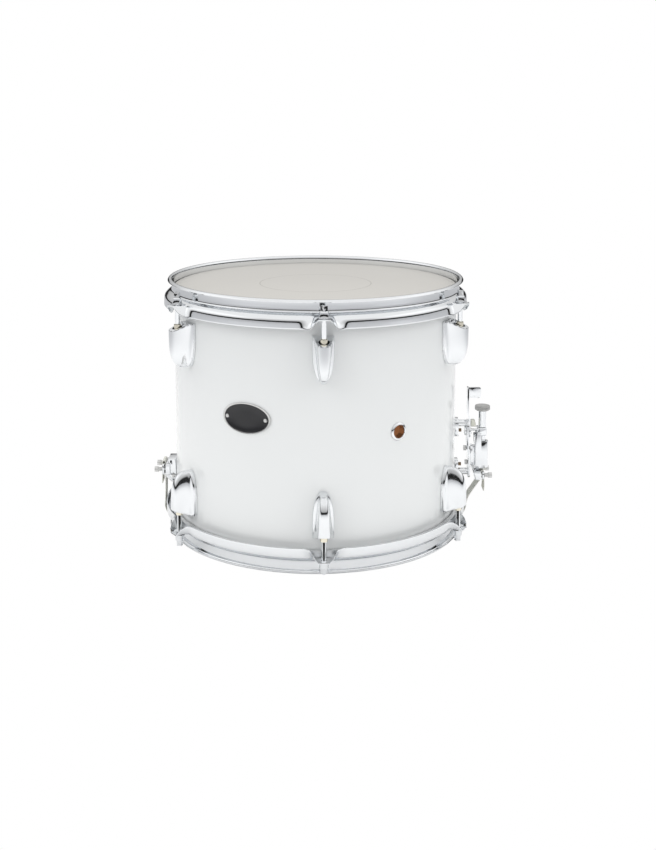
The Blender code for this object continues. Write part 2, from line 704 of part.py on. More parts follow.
def make_strainer_base():
    """Two feet with posts, which carry an upright plate off the shell."""
    foot_x = SHELL_RADIUS + GAP
    post_x = foot_x + FOOT_THICKNESS
    plate_out = PLATE_X + PLATE_THICKNESS
    jog_high, jog_low = 97 * MM, 88 * MM
    top, bottom = 131.4 * MM, 56.0 * MM
    outline = [
        (PLATE_X, up(top)),
        (PLATE_X, up(jog_high)),
        (PLATE_X + PLATE_JOG, up(jog_low)),
        (PLATE_X + PLATE_JOG, up(bottom)),
        (plate_out + PLATE_JOG, up(bottom)),
        (plate_out + PLATE_JOG, up(jog_low)),
        (plate_out, up(jog_high)),
        (plate_out, up(top)),
    ]
    plate = prism_mesh("strainer_plate", outline, -PLATE_HALF_WIDTH, PLATE_HALF_WIDTH)
    joins, cuts = [], []
    for post, foot_low, foot_high, end in (
        (UPPER_POST, UPPER_POST - 16.5 * MM, UPPER_POST + 6.5 * MM, PLATE_X + 1.2 * MM),
        (LOWER_POST, LOWER_POST - 6.5 * MM, LOWER_POST + 16.5 * MM, PLATE_X + PLATE_JOG + 1.2 * MM),
    ):
        outline = rounded_outline(FOOT_HALF_WIDTH, up(foot_low), up(foot_high), 5 * MM, 3)
        joins.append(plate_mesh("foot", outline, foot_x, post_x))
        joins.append(rod_mesh("post", (post_x - 1 * MM, 0, up(post)), (end, 0, up(post)), POST_RADIUS))
    keep = rounded_outline(PLATE_HALF_WIDTH - 0.05 * MM, up(bottom - 1 * MM), up(top - 0.1 * MM), 8 * MM, 4)
    trim = plate_mesh("plate_trim", keep, foot_x - 2 * MM, plate_out + 4 * MM)
    for height in mount_screw_heights():
        cuts.append(screw_hole("foot_hole", 1, height, MOUNT_SCREW_RADIUS + GAP))
    cuts.append(
        rod_mesh(
            "pivot_hole",
            (PLATE_X - 2 * MM, 0, up(PIVOT_HEIGHT)),
            (plate_out + 2 * MM, 0, up(PIVOT_HEIGHT)),
            PIVOT_RADIUS + GAP,
        )
    )
    for height in body_screw_heights():
        cuts.append(
            rod_mesh(
                "screw_hole", (PLATE_X - 2 * MM, 0, up(height)), (plate_out + 4 * MM, 0, up(height)), 2.2 * MM, 8
            )
        )
    base = add_object("strainer_base", plate, CHROME)
    boolean(base, "INTERSECT", add_object("plate_trim", trim, None, helpers))
    for count, mesh in enumerate(joins):
        boolean(base, "UNION", add_object(f"strainer_base_join_{count}", mesh, None, helpers))
    for count, mesh in enumerate(cuts):
        boolean(base, "DIFFERENCE", add_object(f"strainer_base_cut_{count}", mesh, None, helpers))


def body_screw_heights():
    return (93.7 * MM, 75.2 * MM)


def head_screw(name, start, end, radius, head, head_length, finish, sides=12):
    """A screw whose head is at its start and whose shank runs to its end."""
    start, end = Vector(start), Vector(end)
    along = (end - start).normalized()
    top = rod_mesh(name, start - along * head_length, start, head, sides)
    shank = rod_mesh(name, start - along * 0.5 * MM, end, radius, 8)
    return solid(name, top, finish, joins=[shank])


def make_strainer_screws():
    head_x = SHELL_RADIUS + GAP + FOOT_THICKNESS + GAP
    inside = SHELL_RADIUS - SHELL_WALL - 5 * MM
    for name, height in zip(("upper", "lower"), mount_screw_heights()):
        screw = head_screw(
            f"strainer_mount_screw_{name}",
            (head_x, 0, up(height)),
            (inside, 0, up(height)),
            MOUNT_SCREW_RADIUS,
            2.3 * MM,
            4.2 * MM,
            DARK_SCREW,
            6,
        )
        nut = rod_mesh(
            "nut",
            (SHELL_RADIUS - SHELL_WALL - 1.2 * MM, 0, up(height)),
            (inside - 1 * MM, 0, up(height)),
            3.6 * MM,
            6,
        )
        boolean(screw, "UNION", add_object(f"mount_nut_{name}", nut, None, helpers))
    for count, (name, height) in enumerate(zip(("upper", "lower"), body_screw_heights())):
        face = PLATE_X - GAP + PLATE_JOG * count
        head_screw(
            f"body_screw_{name}",
            (face, 0, up(height)),
            (PLATE_X + PLATE_THICKNESS + PLATE_JOG + 3.4 * MM, 0, up(height)),
            1.8 * MM,
            3.3 * MM,
            3.4 * MM,
            SATIN_METAL,
        )
    pivot = head_screw(
        "lever_pivot",
        (PLATE_X - GAP, 0, up(PIVOT_HEIGHT)),
        (lever_hub_x() + LEVER_SHEET + 1.6 * MM, 0, up(PIVOT_HEIGHT)),
        PIVOT_RADIUS,
        5.6 * MM,
        2.6 * MM,
        CHROME,
        16,
    )
    washer = rod_mesh(
        "pivot_washer",
        (lever_hub_x() + LEVER_SHEET + GAP, 0, up(PIVOT_HEIGHT)),
        (lever_hub_x() + LEVER_SHEET + 1.5 * MM, 0, up(PIVOT_HEIGHT)),
        4.0 * MM,
    )
    boolean(pivot, "UNION", add_object("pivot_washer", washer, None, helpers))


def lever_hub_x():
    return PLATE_X + PLATE_THICKNESS + 0.4 * MM


def make_lever():
    """A flat lever, jogged towards the shell, with a thumb tab and an eccentric pin at its hub."""
    hub_x = lever_hub_x()
    arm_x = PLATE_X + 0.5 * MM
    outline = [
        (hub_x, up(PIVOT_HEIGHT - LEVER_HUB)),
        (hub_x, up(LEVER_JOG_LOW)),
        (arm_x, up(LEVER_JOG_HIGH)),
        (arm_x, up(LEVER_TOP)),
        (arm_x + LEVER_SHEET, up(LEVER_TOP)),
        (arm_x + LEVER_SHEET, up(LEVER_JOG_HIGH)),
        (hub_x + LEVER_SHEET, up(LEVER_JOG_LOW)),
        (hub_x + LEVER_SHEET, up(PIVOT_HEIGHT - LEVER_HUB)),
    ]
    strip = prism_mesh("lever_strip", outline, -LEVER_HALF_WIDTH, LEVER_HALF_WIDTH)
    hub = rod_mesh(
        "lever_hub",
        (hub_x + 0.02 * MM, 0, up(PIVOT_HEIGHT)),
        (hub_x + LEVER_SHEET - 0.02 * MM, 0, up(PIVOT_HEIGHT)),
        LEVER_HUB + 0.3 * MM,
        20,
    )
    tab_outline = rounded_outline((LEVER_TOP - 0.8 * MM - TAB_LOW) / 2, 0, TAB_REACH, 2.6 * MM, 3)
    work = bmesh.new()
    middle = up((LEVER_TOP - 0.8 * MM + TAB_LOW) / 2)
    back = LEVER_HALF_WIDTH - 1.5 * MM
    face = work.faces.new([work.verts.new((arm_x + 0.6 * MM + out, back, middle + z)) for z, out in tab_outline])
    grown = bmesh.ops.extrude_face_region(work, geom=[face])["geom"]
    moved = [v for v in grown if isinstance(v, bmesh.types.BMVert)]
    bmesh.ops.translate(work, vec=(0, 1.4 * MM, 0), verts=moved)
    tab = mesh_of("lever_tab", work)
    pin_y = -CRANK_RADIUS * math.cos(CRANK_ANGLE)
    pin_z = up(PIVOT_HEIGHT + CRANK_RADIUS * math.sin(CRANK_ANGLE))
    pin = rod_mesh(
        "lever_pin", (hub_x + 0.5 * MM, pin_y, pin_z), (SPINDLE_X - 4.2 * MM, pin_y, pin_z), CRANK_PIN, 10
    )
    hole = rod_mesh(
        "lever_hole",
        (hub_x - 2 * MM, 0, up(PIVOT_HEIGHT)),
        (hub_x + 5 * MM, 0, up(PIVOT_HEIGHT)),
        PIVOT_RADIUS + GAP,
    )
    lever = solid("strainer_lever", strip, CHROME, joins=[hub, tab, pin], cuts=[hole])
    pivot = Vector((0, 0, up(PIVOT_HEIGHT)))
    shift_origin(lever, pivot)


def shift_origin(made, point):
    """Puts an object's origin on its joint, with its shape where it was."""
    made.data.transform(Matrix.Translation(-point))
    made.location = point


def make_lever_block():
    """The cream block on the lever's outer face."""
    low_x = lever_hub_x() + LEVER_SHEET + GAP
    outline = [
        (low_x, up(122.4 * MM)),
        (206.0 * MM, up(122.4 * MM)),
        (204.4 * MM, up(130.9 * MM)),
        (low_x + 0.4 * MM, up(130.9 * MM)),
    ]
    block = prism_mesh("lever_block", outline, -4.0 * MM, 4.0 * MM, 0.7 * MM)
    add_object("lever_block", block, CREAM_NYLON)


def make_strainer_body():
    """The housing: a square back and a round barrel, bored for the carriage and open at its top."""
    y = BODY_HALF_WIDTH
    back_out = SPINDLE_X - 2 * MM
    shape = box_mesh(
        "strainer_body", (BODY_X, -y, up(BODY_BOTTOM)), (back_out, y, up(BODY_INNER_TOP)), 0.8 * MM
    )
    barrel = rod_mesh(
        "barrel", (SPINDLE_X, 0, up(BODY_BOTTOM + 0.1 * MM)), (SPINDLE_X, 0, up(BARREL_TOP)), BARREL_RADIUS, 24
    )
    flange_x = PLATE_X + PLATE_THICKNESS + PLATE_JOG + GAP
    flange = plate_mesh(
        "flange",
        rounded_outline(7 * MM, up(70.6 * MM), up(99.0 * MM), 6.5 * MM, 3),
        flange_x,
        flange_x + 2.6 * MM,
    )
    web = box_mesh(
        "web", (flange_x + 1 * MM, -3.5 * MM, up(72 * MM)), (BODY_X + 2 * MM, 3.5 * MM, up(97 * MM))
    )
    bore = rod_mesh(
        "bore",
        (SPINDLE_X, 0, up(BODY_BOTTOM - 5 * MM)),
        (SPINDLE_X, 0, up(BODY_INNER_TOP + 5 * MM)),
        TUBE_RADIUS + 2 * GAP,
        16,
    )
    inside = BODY_HALF_WIDTH - 1.4 * MM
    pocket = box_mesh(
        "pocket",
        (BODY_X + 2.2 * MM, -inside, up(BARREL_TOP)),
        (SPINDLE_X + 10 * MM, inside, up(BODY_INNER_TOP + 5 * MM)),
    )
    pin_low = PIVOT_HEIGHT - CRANK_RADIUS - CRANK_PIN - 1.0 * MM
    window = box_mesh(
        "window",
        (BODY_X - 3 * MM, -inside, up(pin_low)),
        (SPINDLE_X, inside, up(BODY_INNER_TOP + 5 * MM)),
    )
    step = box_mesh(
        "step",
        (BODY_X - 3 * MM, -2 * y, up(BLOCK_SWEEP)),
        (BODY_X + 2.4 * MM, 2 * y, up(BODY_INNER_TOP + 5 * MM)),
    )
    holes = [step]
    for height in body_screw_heights():
        end_x = PLATE_X + PLATE_THICKNESS + PLATE_JOG + 4.0 * MM
        holes.append(
            rod_mesh("screw_hole", (flange_x - 2 * MM, 0, up(height)), (end_x, 0, up(height)), 2.2 * MM, 8)
        )
    solid("strainer_body", shape, CHROME, joins=[barrel, flange, web], cuts=[bore, pocket, window] + holes)


def make_carriage():
    """The sliding block above the housing, with its guide tube and the slot for the lever's pin."""
    inside = BODY_HALF_WIDTH - 1.4 * MM - GAP
    low_x, high_x = 207.2 * MM, 219.2 * MM
    block = box_mesh(
        "carriage", (low_x, -inside, up(CARRIAGE_BOTTOM)), (high_x, inside, up(CARRIAGE_TOP)), 0.9 * MM
    )
    tube = rod_mesh(
        "tube", (SPINDLE_X, 0, up(76 * MM)), (SPINDLE_X, 0, up(CARRIAGE_BOTTOM + 2 * MM)), TUBE_RADIUS, 16
    )
    pin_z = PIVOT_HEIGHT + CRANK_RADIUS * math.sin(CRANK_ANGLE)
    slot_end = -CRANK_RADIUS * math.sin(CRANK_ANGLE) + CRANK_PIN + GAP
    slot = box_mesh(
        "slot",
        (low_x - 2 * MM, -inside - 2 * MM, up(pin_z - CRANK_PIN - SLOT_SLACK)),
        (SPINDLE_X - 3.8 * MM, slot_end, up(pin_z + CRANK_PIN + GAP)),
    )
    bore = rod_mesh(
        "bore", (SPINDLE_X, 0, up(70 * MM)), (SPINDLE_X, 0, up(CARRIAGE_TOP + 2 * MM)), TUBE_BORE, 12
    )
    solid("carriage", block, CHROME, joins=[tube], cuts=[slot, bore])


def make_knob():
    """The tension knob: a knurled dished head on a post, with a threaded bore for the stem."""
    sides = 30
    bottom = up(CARRIAGE_TOP + GAP)
    profile = [
        (0.0, up(KNOB_TOP - 1.2 * MM)),
        (6.4 * MM, up(KNOB_TOP - 1.0 * MM)),
        (8.2 * MM, up(KNOB_TOP)),
        (9.0 * MM, up(KNOB_TOP)),
        (KNOB_RADIUS, up(KNOB_TOP - 0.7 * MM)),
        (KNOB_RADIUS, up(KNOB_BOTTOM + 1.4 * MM)),
        (7.6 * MM, up(KNOB_BOTTOM)),
        (KNOB_POST, up(KNOB_BOTTOM - 0.1 * MM)),
        (KNOB_POST, bottom),
        (TUBE_BORE - GAP - 0.05 * MM, bottom),
        (TUBE_BORE - GAP - 0.05 * MM, up(104 * MM)),
        (0.0, up(104 * MM)),
    ]
    knob = turned("tension_knob", profile, SATIN_METAL, steps=sides)
    knob.location = (SPINDLE_X, 0, 0)


def make_clamp():
    """The clamp block under the housing, which the stem lifts, with its plate and two screws."""
    y = CLAMP_HALF_WIDTH
    outline = [
        (201.6 * MM, up(CLAMP_HIGH)),
        (203.6 * MM, up(CLAMP_LOW)),
        (CLAMP_SLOT_X, up(CLAMP_LOW)),
        (CLAMP_SLOT_X, up(CLAMP_HIGH)),
    ]
    block = prism_mesh("strap_clamp", outline, -y, y, 0.7 * MM)
    bridge_outline = [
        (CLAMP_SLOT_X - 3.4 * MM, up(CLAMP_HIGH - 2 * MM)),
        (CLAMP_SLOT_X - 0.2 * MM, up(CLAMP_HIGH - 2 * MM)),
        (CLAMP_SLOT_X - 0.2 * MM, up(CLAMP_HIGH - 0.1 * MM)),
        (SPINDLE_X + 2.6 * MM, up(CLAMP_HIGH - 0.1 * MM)),
        (SPINDLE_X + 2.6 * MM, up(CLAMP_HIGH + 1.6 * MM)),
        (CLAMP_SLOT_X - 3.4 * MM, up(CLAMP_HIGH + 1.6 * MM)),
    ]
    bridge = prism_mesh("bridge", bridge_outline, -STEM_RADIUS * 1.6, STEM_RADIUS * 1.6)
    stem = rod_mesh(
        "stem", (SPINDLE_X, 0, up(CLAMP_HIGH + 0.6 * MM)), (SPINDLE_X, 0, up(100 * MM)), STEM_RADIUS, 10
    )
    holes = [
        rod_mesh(
            "clamp_hole",
            (CLAMP_SLOT_X + 4 * MM, sign * CLAMP_SCREW_Y, up(clamp_screw_height())),
            (CLAMP_SLOT_X - 7 * MM, sign * CLAMP_SCREW_Y, up(clamp_screw_height())),
            2.0 * MM,
            8,
        )
        for sign in (-1, 1)
    ]
    solid("strap_clamp", block, CHROME, joins=[bridge, stem], cuts=holes)
    clamp_plate_and_screws(
        "strap",
        1,
        CLAMP_SLOT_X + 1.5 * MM,
        18 * MM,
        (56.9 * MM, 66.4 * MM),
        CLAMP_SCREW_Y,
        clamp_screw_height(),
        notch_z=up(STRAP_FOLD + 0.4 * MM),
    )


def clamp_screw_height():
    return 62.4 * MM


def clamp_plate_and_screws(
    name, sign, plate_x, half_width, heights, screw_y, screw_height, notch_z=None
):
    """A clamp plate at plate_x on this side, with its two screws and a notch for the strap's fold."""
    thickness = 2.3 * MM
    faces = sorted((sign * plate_x, sign * (plate_x + thickness)))
    outline = rounded_outline(half_width, up(heights[0]), up(heights[1]), 2 * MM, 2)
    holes = []
    for side in (-1, 1):
        holes.append(
            rod_mesh(
                "plate_hole",
                (sign * (plate_x - 3 * MM), side * screw_y, up(screw_height)),
                (sign * (plate_x + 6 * MM), side * screw_y, up(screw_height)),
                2.0 * MM,
                8,
            )
        )
    if notch_z is not None:
        side = STRAP_WIDTH / 2 + 1.2 * MM
        low = (faces[0] - 3 * MM, -side, notch_z)
        holes.append(box_mesh("plate_notch", low, (faces[1] + 3 * MM, side, notch_z + 20 * MM)))
    solid(f"{name}_clamp_plate", plate_mesh("plate", outline, *faces), CHROME, cuts=holes)
    for side, label in ((-1, "front"), (1, "rear")):
        collar_x = plate_x + thickness + GAP
        screw = head_screw(
            f"{name}_clamp_screw_{label}",
            (sign * (collar_x + 4.6 * MM), side * screw_y, up(screw_height)),
            (sign * (plate_x - 6.2 * MM), side * screw_y, up(screw_height)),
            1.6 * MM,
            CLAMP_SCREW_RADIUS,
            5.2 * MM,
            SATIN_METAL,
        )
        collar = rod_mesh(
            "collar",
            (sign * collar_x, side * screw_y, up(screw_height)),
            (sign * (collar_x + 4.8 * MM), side * screw_y, up(screw_height)),
            2.5 * MM,
            10,
        )
        boolean(screw, "UNION", add_object(f"{name}_collar_{label}", collar, None, helpers))


def make_butt():
    """The fixed anchor on the far side of the drum, with its clamp plate and screws."""
    foot = SHELL_RADIUS + GAP
    outline = [
        (-foot, up(82.6 * MM)),
        (-188.3 * MM, up(82.6 * MM)),
        (-188.3 * MM, up(77.6 * MM)),
        (-BUTT_FACE, up(77.6 * MM)),
        (-BUTT_FACE, up(59.0 * MM)),
        (-181.5 * MM, up(51.0 * MM)),
        (-foot, up(51.0 * MM)),
    ]
    block = prism_mesh("butt_bracket", outline, -BUTT_HALF_WIDTH, BUTT_HALF_WIDTH, 0.6 * MM)
    ears = box_mesh(
        "ears",
        (-BUTT_FACE + 0.1 * MM, -BUTT_PLATE_HALF_WIDTH, up(BUTT_PLATE_LOW)),
        (-BUTT_FACE + 6 * MM, BUTT_PLATE_HALF_WIDTH, up(BUTT_PLATE_HIGH)),
        0.6 * MM,
    )
    cuts = [
        rod_mesh("eye", (-184.6 * MM, -20 * MM, up(79.6 * MM)), (-184.6 * MM, 20 * MM, up(79.6 * MM)), 1.4 * MM, 10)
    ]
    for side in (-1, 1):
        cuts.append(
            rod_mesh(
                "ear_hole",
                (-BUTT_FACE - 3 * MM, side * BUTT_SCREW_Y, up(BUTT_SCREW_HEIGHT)),
                (-BUTT_FACE + 9 * MM, side * BUTT_SCREW_Y, up(BUTT_SCREW_HEIGHT)),
                2.0 * MM,
                8,
            )
        )
    for height in butt_mount_heights():
        cuts.append(
            rod_mesh(
                "mount_hole",
                (-foot + 5 * MM, 0, up(height)),
                (-foot - 4.2 * MM, 0, up(height)),
                MOUNT_SCREW_RADIUS + GAP,
                8,
            )
        )
    side_screw = (-foot - 3.4 * MM, -BUTT_HALF_WIDTH - GAP, up(61.0 * MM))
    side_end = (-foot - 3.4 * MM, -BUTT_HALF_WIDTH + 7 * MM, up(61.0 * MM))
    side_hole_start = (-foot - 3.4 * MM, -BUTT_HALF_WIDTH - 3 * MM, up(61.0 * MM))
    side_hole_end = (-foot - 3.4 * MM, -BUTT_HALF_WIDTH + 7.5 * MM, up(61.0 * MM))
    cuts.append(rod_mesh("side_hole", side_hole_start, side_hole_end, 1.7 * MM, 8))
    head_screw("butt_side_screw", side_screw, side_end, 1.3 * MM, 2.4 * MM, 1.8 * MM, SATIN_METAL)
    solid("butt_bracket", block, CHROME, joins=[ears], cuts=cuts)
    inside = SHELL_RADIUS - SHELL_WALL
    for name, height in zip(("upper", "lower"), butt_mount_heights()):
        head_screw(
            f"butt_mount_screw_{name}",
            (-inside + 1.0 * MM, 0, up(height)),
            (-foot - 3.9 * MM, 0, up(height)),
            MOUNT_SCREW_RADIUS,
            3.8 * MM,
            2.4 * MM,
            SATIN_METAL,
        )
    clamp_plate_and_screws(
        "butt",
        -1,
        BUTT_FACE + 1.5 * MM,
        BUTT_PLATE_HALF_WIDTH,
        (BUTT_PLATE_LOW, BUTT_PLATE_HIGH),
        BUTT_SCREW_Y,
        BUTT_SCREW_HEIGHT,
    )


def strap_mesh(name, route):
    """A flat strap along a route of (x, height) points in the drum's X and Z plane."""
    points = [Vector((x, 0, up(h))) for x, h in route]
    work = bmesh.new()
    half = STRAP_WIDTH / 2
    rings = []
    for k, here in enumerate(points):
        before = points[max(k - 1, 0)]
        after = points[min(k + 1, len(points) - 1)]
        arrive = (here - before).normalized() if k else (after - here).normalized()
        leave = (after - here).normalized() if k < len(points) - 1 else arrive
        along = (arrive + leave).normalized()
        stretch = min(1.5, 1 / max(0.3, along.dot(leave)))
        across = Vector((-along.z, 0, along.x)) * STRAP_THICKNESS / 2 * stretch
        rings.append(
            [
                work.verts.new(here + across + Vector((0, -half, 0))),
                work.verts.new(here + across + Vector((0, half, 0))),
                work.verts.new(here - across + Vector((0, half, 0))),
                work.verts.new(here - across + Vector((0, -half, 0))),
            ]
        )
    for here, there in zip(rings, rings[1:]):
        for k in range(4):
            work.faces.new((here[k], here[(k + 1) % 4], there[(k + 1) % 4], there[k]))
    work.faces.new(rings[0])
    work.faces.new(rings[-1])
    return mesh_of(name, work)


def clamp_loop(sign, slot_x, plate_x, low, high):
    """The strap's turn over its clamp plate, from the slot to the outside of the plate."""
    middle = (slot_x + plate_x) / 2
    reach = (plate_x - slot_x) / 2
    points = [(sign * slot_x, low)]
    for step in range(5):
        angle = math.radians(180 - 45 * step)
        points.append((sign * (middle + reach * math.cos(angle)), high + reach * 0.9 * math.sin(angle)))
    return points


def make_straps():
    skirt = BEND_RADIUS + HOOP_SHEET + 1.2 * MM
    start = SNARE_HALF_LENGTH + 6.5 * MM
    under = SNARE_HEIGHT - 0.2 * MM
    common = [(start, under), (HOOP_WALL, under), (HOOP_WALL + 5.2 * MM, under + 1.3 * MM)]
    common += [(skirt - 1.4 * MM, 14.0 * MM), (skirt + 0.6 * MM, 20.0 * MM)]
    slot = CLAMP_SLOT_X + 0.75 * MM
    outside = CLAMP_SLOT_X + 1.5 * MM + 2.3 * MM + GAP + 0.6 * MM
    strainer = common + [(skirt + 1.6 * MM, 27.0 * MM), (196.6 * MM, 33.8 * MM), (207.6 * MM, 50.2 * MM)]
    strainer += clamp_loop(1, slot, outside, 57.0 * MM, STRAP_FOLD)
    strainer += [(outside, 56.0 * MM), (outside + 0.3 * MM, 46.0 * MM), (outside - 0.3 * MM, 40.0 * MM)]
    add_object("strainer_strap", strap_mesh("strainer_strap", strainer), TAPE)
    slot = BUTT_FACE + 0.75 * MM
    outside = BUTT_FACE + 1.5 * MM + 2.3 * MM + GAP + 0.6 * MM
    butt = [(-x, h) for x, h in common] + [(-skirt - 0.3 * MM, 27.0 * MM), (-slot - 0.1 * MM, 40.0 * MM)]
    butt += clamp_loop(-1, slot, outside, 60.0 * MM, 77.4 * MM)
    butt += [(-outside, 62.0 * MM), (-outside - 0.2 * MM, 50.0 * MM)]
    add_object("butt_strap", strap_mesh("butt_strap", butt), TAPE)


def make_snares():
    """Straight strands between two end plates, held just under the snare head."""
    half = SNARE_HALF_LENGTH
    plates = []
    for sign in (-1, 1):
        low, high = sorted((sign * half, sign * (half + 6 * MM)))
        plates.append(
            box_mesh(
                "snare_end",
                (low, -STRAND_COUNT * STRAND_SPACING / 2 - 1 * MM, up(SNARE_HEIGHT - 1.1 * MM)),
                (high, STRAND_COUNT * STRAND_SPACING / 2 + 1 * MM, up(SNARE_HEIGHT + 1.1 * MM)),
            )
        )
    joins = [plates[1]]
    for k in range(STRAND_COUNT):
        y = (k - (STRAND_COUNT - 1) / 2) * STRAND_SPACING
        joins.append(
            rod_mesh(
                "strand",
                (-half - 1 * MM, y, up(SNARE_HEIGHT)),
                (half + 1 * MM, y, up(SNARE_HEIGHT)),
                STRAND_RADIUS,
                6,
            )
        )
    solid("snare_wires", plates[0], SNARE_WIRE, joins=joins)


make_shell()
make_head(UP, "batter", COATED_FILM)
make_head(DOWN, "snare", CLEAR_FILM)
make_hoop(UP, "batter_hoop")
make_gates(make_hoop(DOWN, "snare_hoop"))
make_lugs()
make_rods()
make_vent()
make_badge()
make_strainer_base()
make_strainer_screws()
make_lever()
make_lever_block()
make_strainer_body()
make_carriage()
make_knob()
make_clamp()
make_butt()
make_straps()
make_snares()
bpy.context.view_layer.update()
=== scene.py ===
# %% [markdown]
# # A marching snare drum
#
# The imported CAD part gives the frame, the bodies and the joints. This script draws every piece
# again in the same place, with round pieces truly round and bent sheet with its real thickness,
# then adds the finishes, the light and the camera of the photograph.

import json
import math

import bmesh
import bpy
from mathutils import Matrix, Vector

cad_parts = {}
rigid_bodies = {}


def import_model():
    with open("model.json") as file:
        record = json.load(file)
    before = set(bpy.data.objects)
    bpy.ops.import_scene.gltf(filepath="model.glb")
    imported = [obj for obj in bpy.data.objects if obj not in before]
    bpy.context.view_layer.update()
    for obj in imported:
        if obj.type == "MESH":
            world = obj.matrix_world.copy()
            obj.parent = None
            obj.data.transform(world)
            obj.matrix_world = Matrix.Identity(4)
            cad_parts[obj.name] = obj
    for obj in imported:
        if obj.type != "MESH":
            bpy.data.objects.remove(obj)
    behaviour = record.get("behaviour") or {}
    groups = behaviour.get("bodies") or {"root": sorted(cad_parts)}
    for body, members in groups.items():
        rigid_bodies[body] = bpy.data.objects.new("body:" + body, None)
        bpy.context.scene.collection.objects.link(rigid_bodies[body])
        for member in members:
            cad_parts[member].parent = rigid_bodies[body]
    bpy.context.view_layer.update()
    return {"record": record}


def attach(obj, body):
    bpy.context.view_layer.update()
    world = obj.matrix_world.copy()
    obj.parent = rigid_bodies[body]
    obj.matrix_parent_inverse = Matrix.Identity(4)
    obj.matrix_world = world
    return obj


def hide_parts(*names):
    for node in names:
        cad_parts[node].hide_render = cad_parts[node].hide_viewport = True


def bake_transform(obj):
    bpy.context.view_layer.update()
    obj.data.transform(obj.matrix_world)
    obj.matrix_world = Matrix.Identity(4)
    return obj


for old in list(bpy.data.objects):
    bpy.data.objects.remove(old, do_unlink=True)

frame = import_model()

# %% [markdown]
# ## Sizes
#
# Metres, with Z up and the origin at the centre of the batter head's playing face. Heights are
# counted from the plane that the drum stands on, and depths from a hoop's rim.

# %%
MM = 0.001
GAP = 0.3 * MM  # clearance between pieces that touch

# Shell and heads
SHELL_RADIUS = 177.8 * MM
SHELL_WALL = 6.5 * MM
SHELL_DEPTH = 298.4 * MM  # from one head's playing face to the other's
EDGE_ROUND = 1.6 * MM
FILM = 0.4 * MM
RIM_STAND = 9.8 * MM  # how far a hoop's rim stands beyond its head
COLLAR_DEPTH = 9.0 * MM  # how far the head's film turns down over the shell
FLESH_WIDTH = 5.4 * MM
FLESH_TOP = 7.2 * MM
FLESH_BOTTOM = 17.7 * MM
RING_STEPS = 256
ROUND_SIDES = 48

# Triple-flanged hoops, of bent sheet
HOOP_SHEET = 1.5 * MM
HOOP_WALL = 180.7 * MM  # radius of the wall's mid-surface
LIP_OUT = 5.0 * MM
WALL_BOTTOM = 14.2 * MM  # depths below the rim
BEND_DEPTH = 22.2 * MM
BEND_RADIUS = 189.7 * MM
SKIRT_DROP = 9.6 * MM
EAR_REACH = 13.2 * MM
EAR_INSET = 1.0 * MM
EAR_RISE = 2.4 * MM
EAR_FLAT = 6.0 * MM  # half the length of an ear's level part, along the hoop
EAR_LOBE = 18.0 * MM  # where its edge is lowest, hanging at the lobe's angle
EAR_END = 27.0 * MM  # where the skirt hangs straight again
LOBE_ANGLE = math.radians(68.0)
HOOP_SECTIONS = 64  # in the sixth of a hoop that belongs to one rod
GATE_HALF_WIDTH = 13.0 * MM
GATE_LOW = 2.6 * MM
GATE_HIGH = 17.5 * MM

# Tension rods and lugs
LUG_COUNT = 6
FIRST_AZIMUTH = math.radians(2.8)
ROD_CIRCLE = 195.0 * MM
ROD_RADIUS = 2.9 * MM
ROD_HOLE = 3.8 * MM
KEY_SIZE = 6.0 * MM
KEY_TOP = 4.5 * MM  # depths below the rim
KEY_BOTTOM = 10.8 * MM
ROD_COLLAR_RADIUS = 5.3 * MM
ROD_COLLAR_BOTTOM = 17.0 * MM
WASHER_RADIUS = 6.2 * MM
WASHER_THICKNESS = 1.4 * MM
ROD_END = 74.0 * MM
LUG_TOP = 41.6 * MM
LUG_LENGTH = 54.9 * MM
LUG_HALF_WIDTH = 12.7 * MM
LUG_BASE = 5.0 * MM
POD_HALF_WIDTH = 8.3 * MM
POD_HEIGHT = 27.0 * MM
POD_SLANT = 7.7 * MM
LUG_SHARES = (0.0, 0.2, 0.42, 0.62, 0.78, 0.89, 0.955, 0.985)  # of its length, where a section stands
TAPER_START, BOW_START, SLANT_END = 0.35, 0.5, 0.24
NUT_RADIUS = 4.3 * MM
NUT_TOP = 1.2 * MM
NUT_BORE = ROD_RADIUS + 0.5 * MM
POCKET_RADIUS = 6.3 * MM
POCKET_DEPTH = 15.0 * MM

# Vent and badge plate
VENT_AZIMUTH = math.radians(32.85)
VENT_HEIGHT = 157.5 * MM
VENT_BORE = 7.65 * MM
VENT_TUBE = 0.8 * MM
VENT_FLANGE = 10.5 * MM
BADGE_AZIMUTH = math.radians(-26.7)
BADGE_HEIGHT = 175.8 * MM
BADGE_HALF_WIDTH = 31.4 * MM
BADGE_HALF_HEIGHT = 18.2 * MM
BADGE_THICKNESS = 1.2 * MM

# Strainer, on +X. Heights are above the plane that the drum stands on.
FOOT_THICKNESS = 4.7 * MM
FOOT_HALF_WIDTH = 9.0 * MM
UPPER_POST = 126.5 * MM
LOWER_POST = 63.2 * MM
POST_RADIUS = 4.4 * MM
MOUNT_SCREW_OFFSET = 9.4 * MM
MOUNT_SCREW_RADIUS = 1.9 * MM
PLATE_X = 193.9 * MM
PLATE_THICKNESS = 2.4 * MM
PLATE_JOG = 1.9 * MM
PLATE_HALF_WIDTH = 9.0 * MM
PIVOT_HEIGHT = 116.2 * MM
PIVOT_RADIUS = 2.6 * MM
LEVER_SHEET = 1.8 * MM
LEVER_HALF_WIDTH = 5.0 * MM
LEVER_TOP = 172.9 * MM
LEVER_JOG_LOW = 132.0 * MM
LEVER_JOG_HIGH = 138.6 * MM
LEVER_HUB = 8.0 * MM
TAB_REACH = 17.6 * MM
TAB_LOW = 158.2 * MM
CRANK_RADIUS = 5.49 * MM
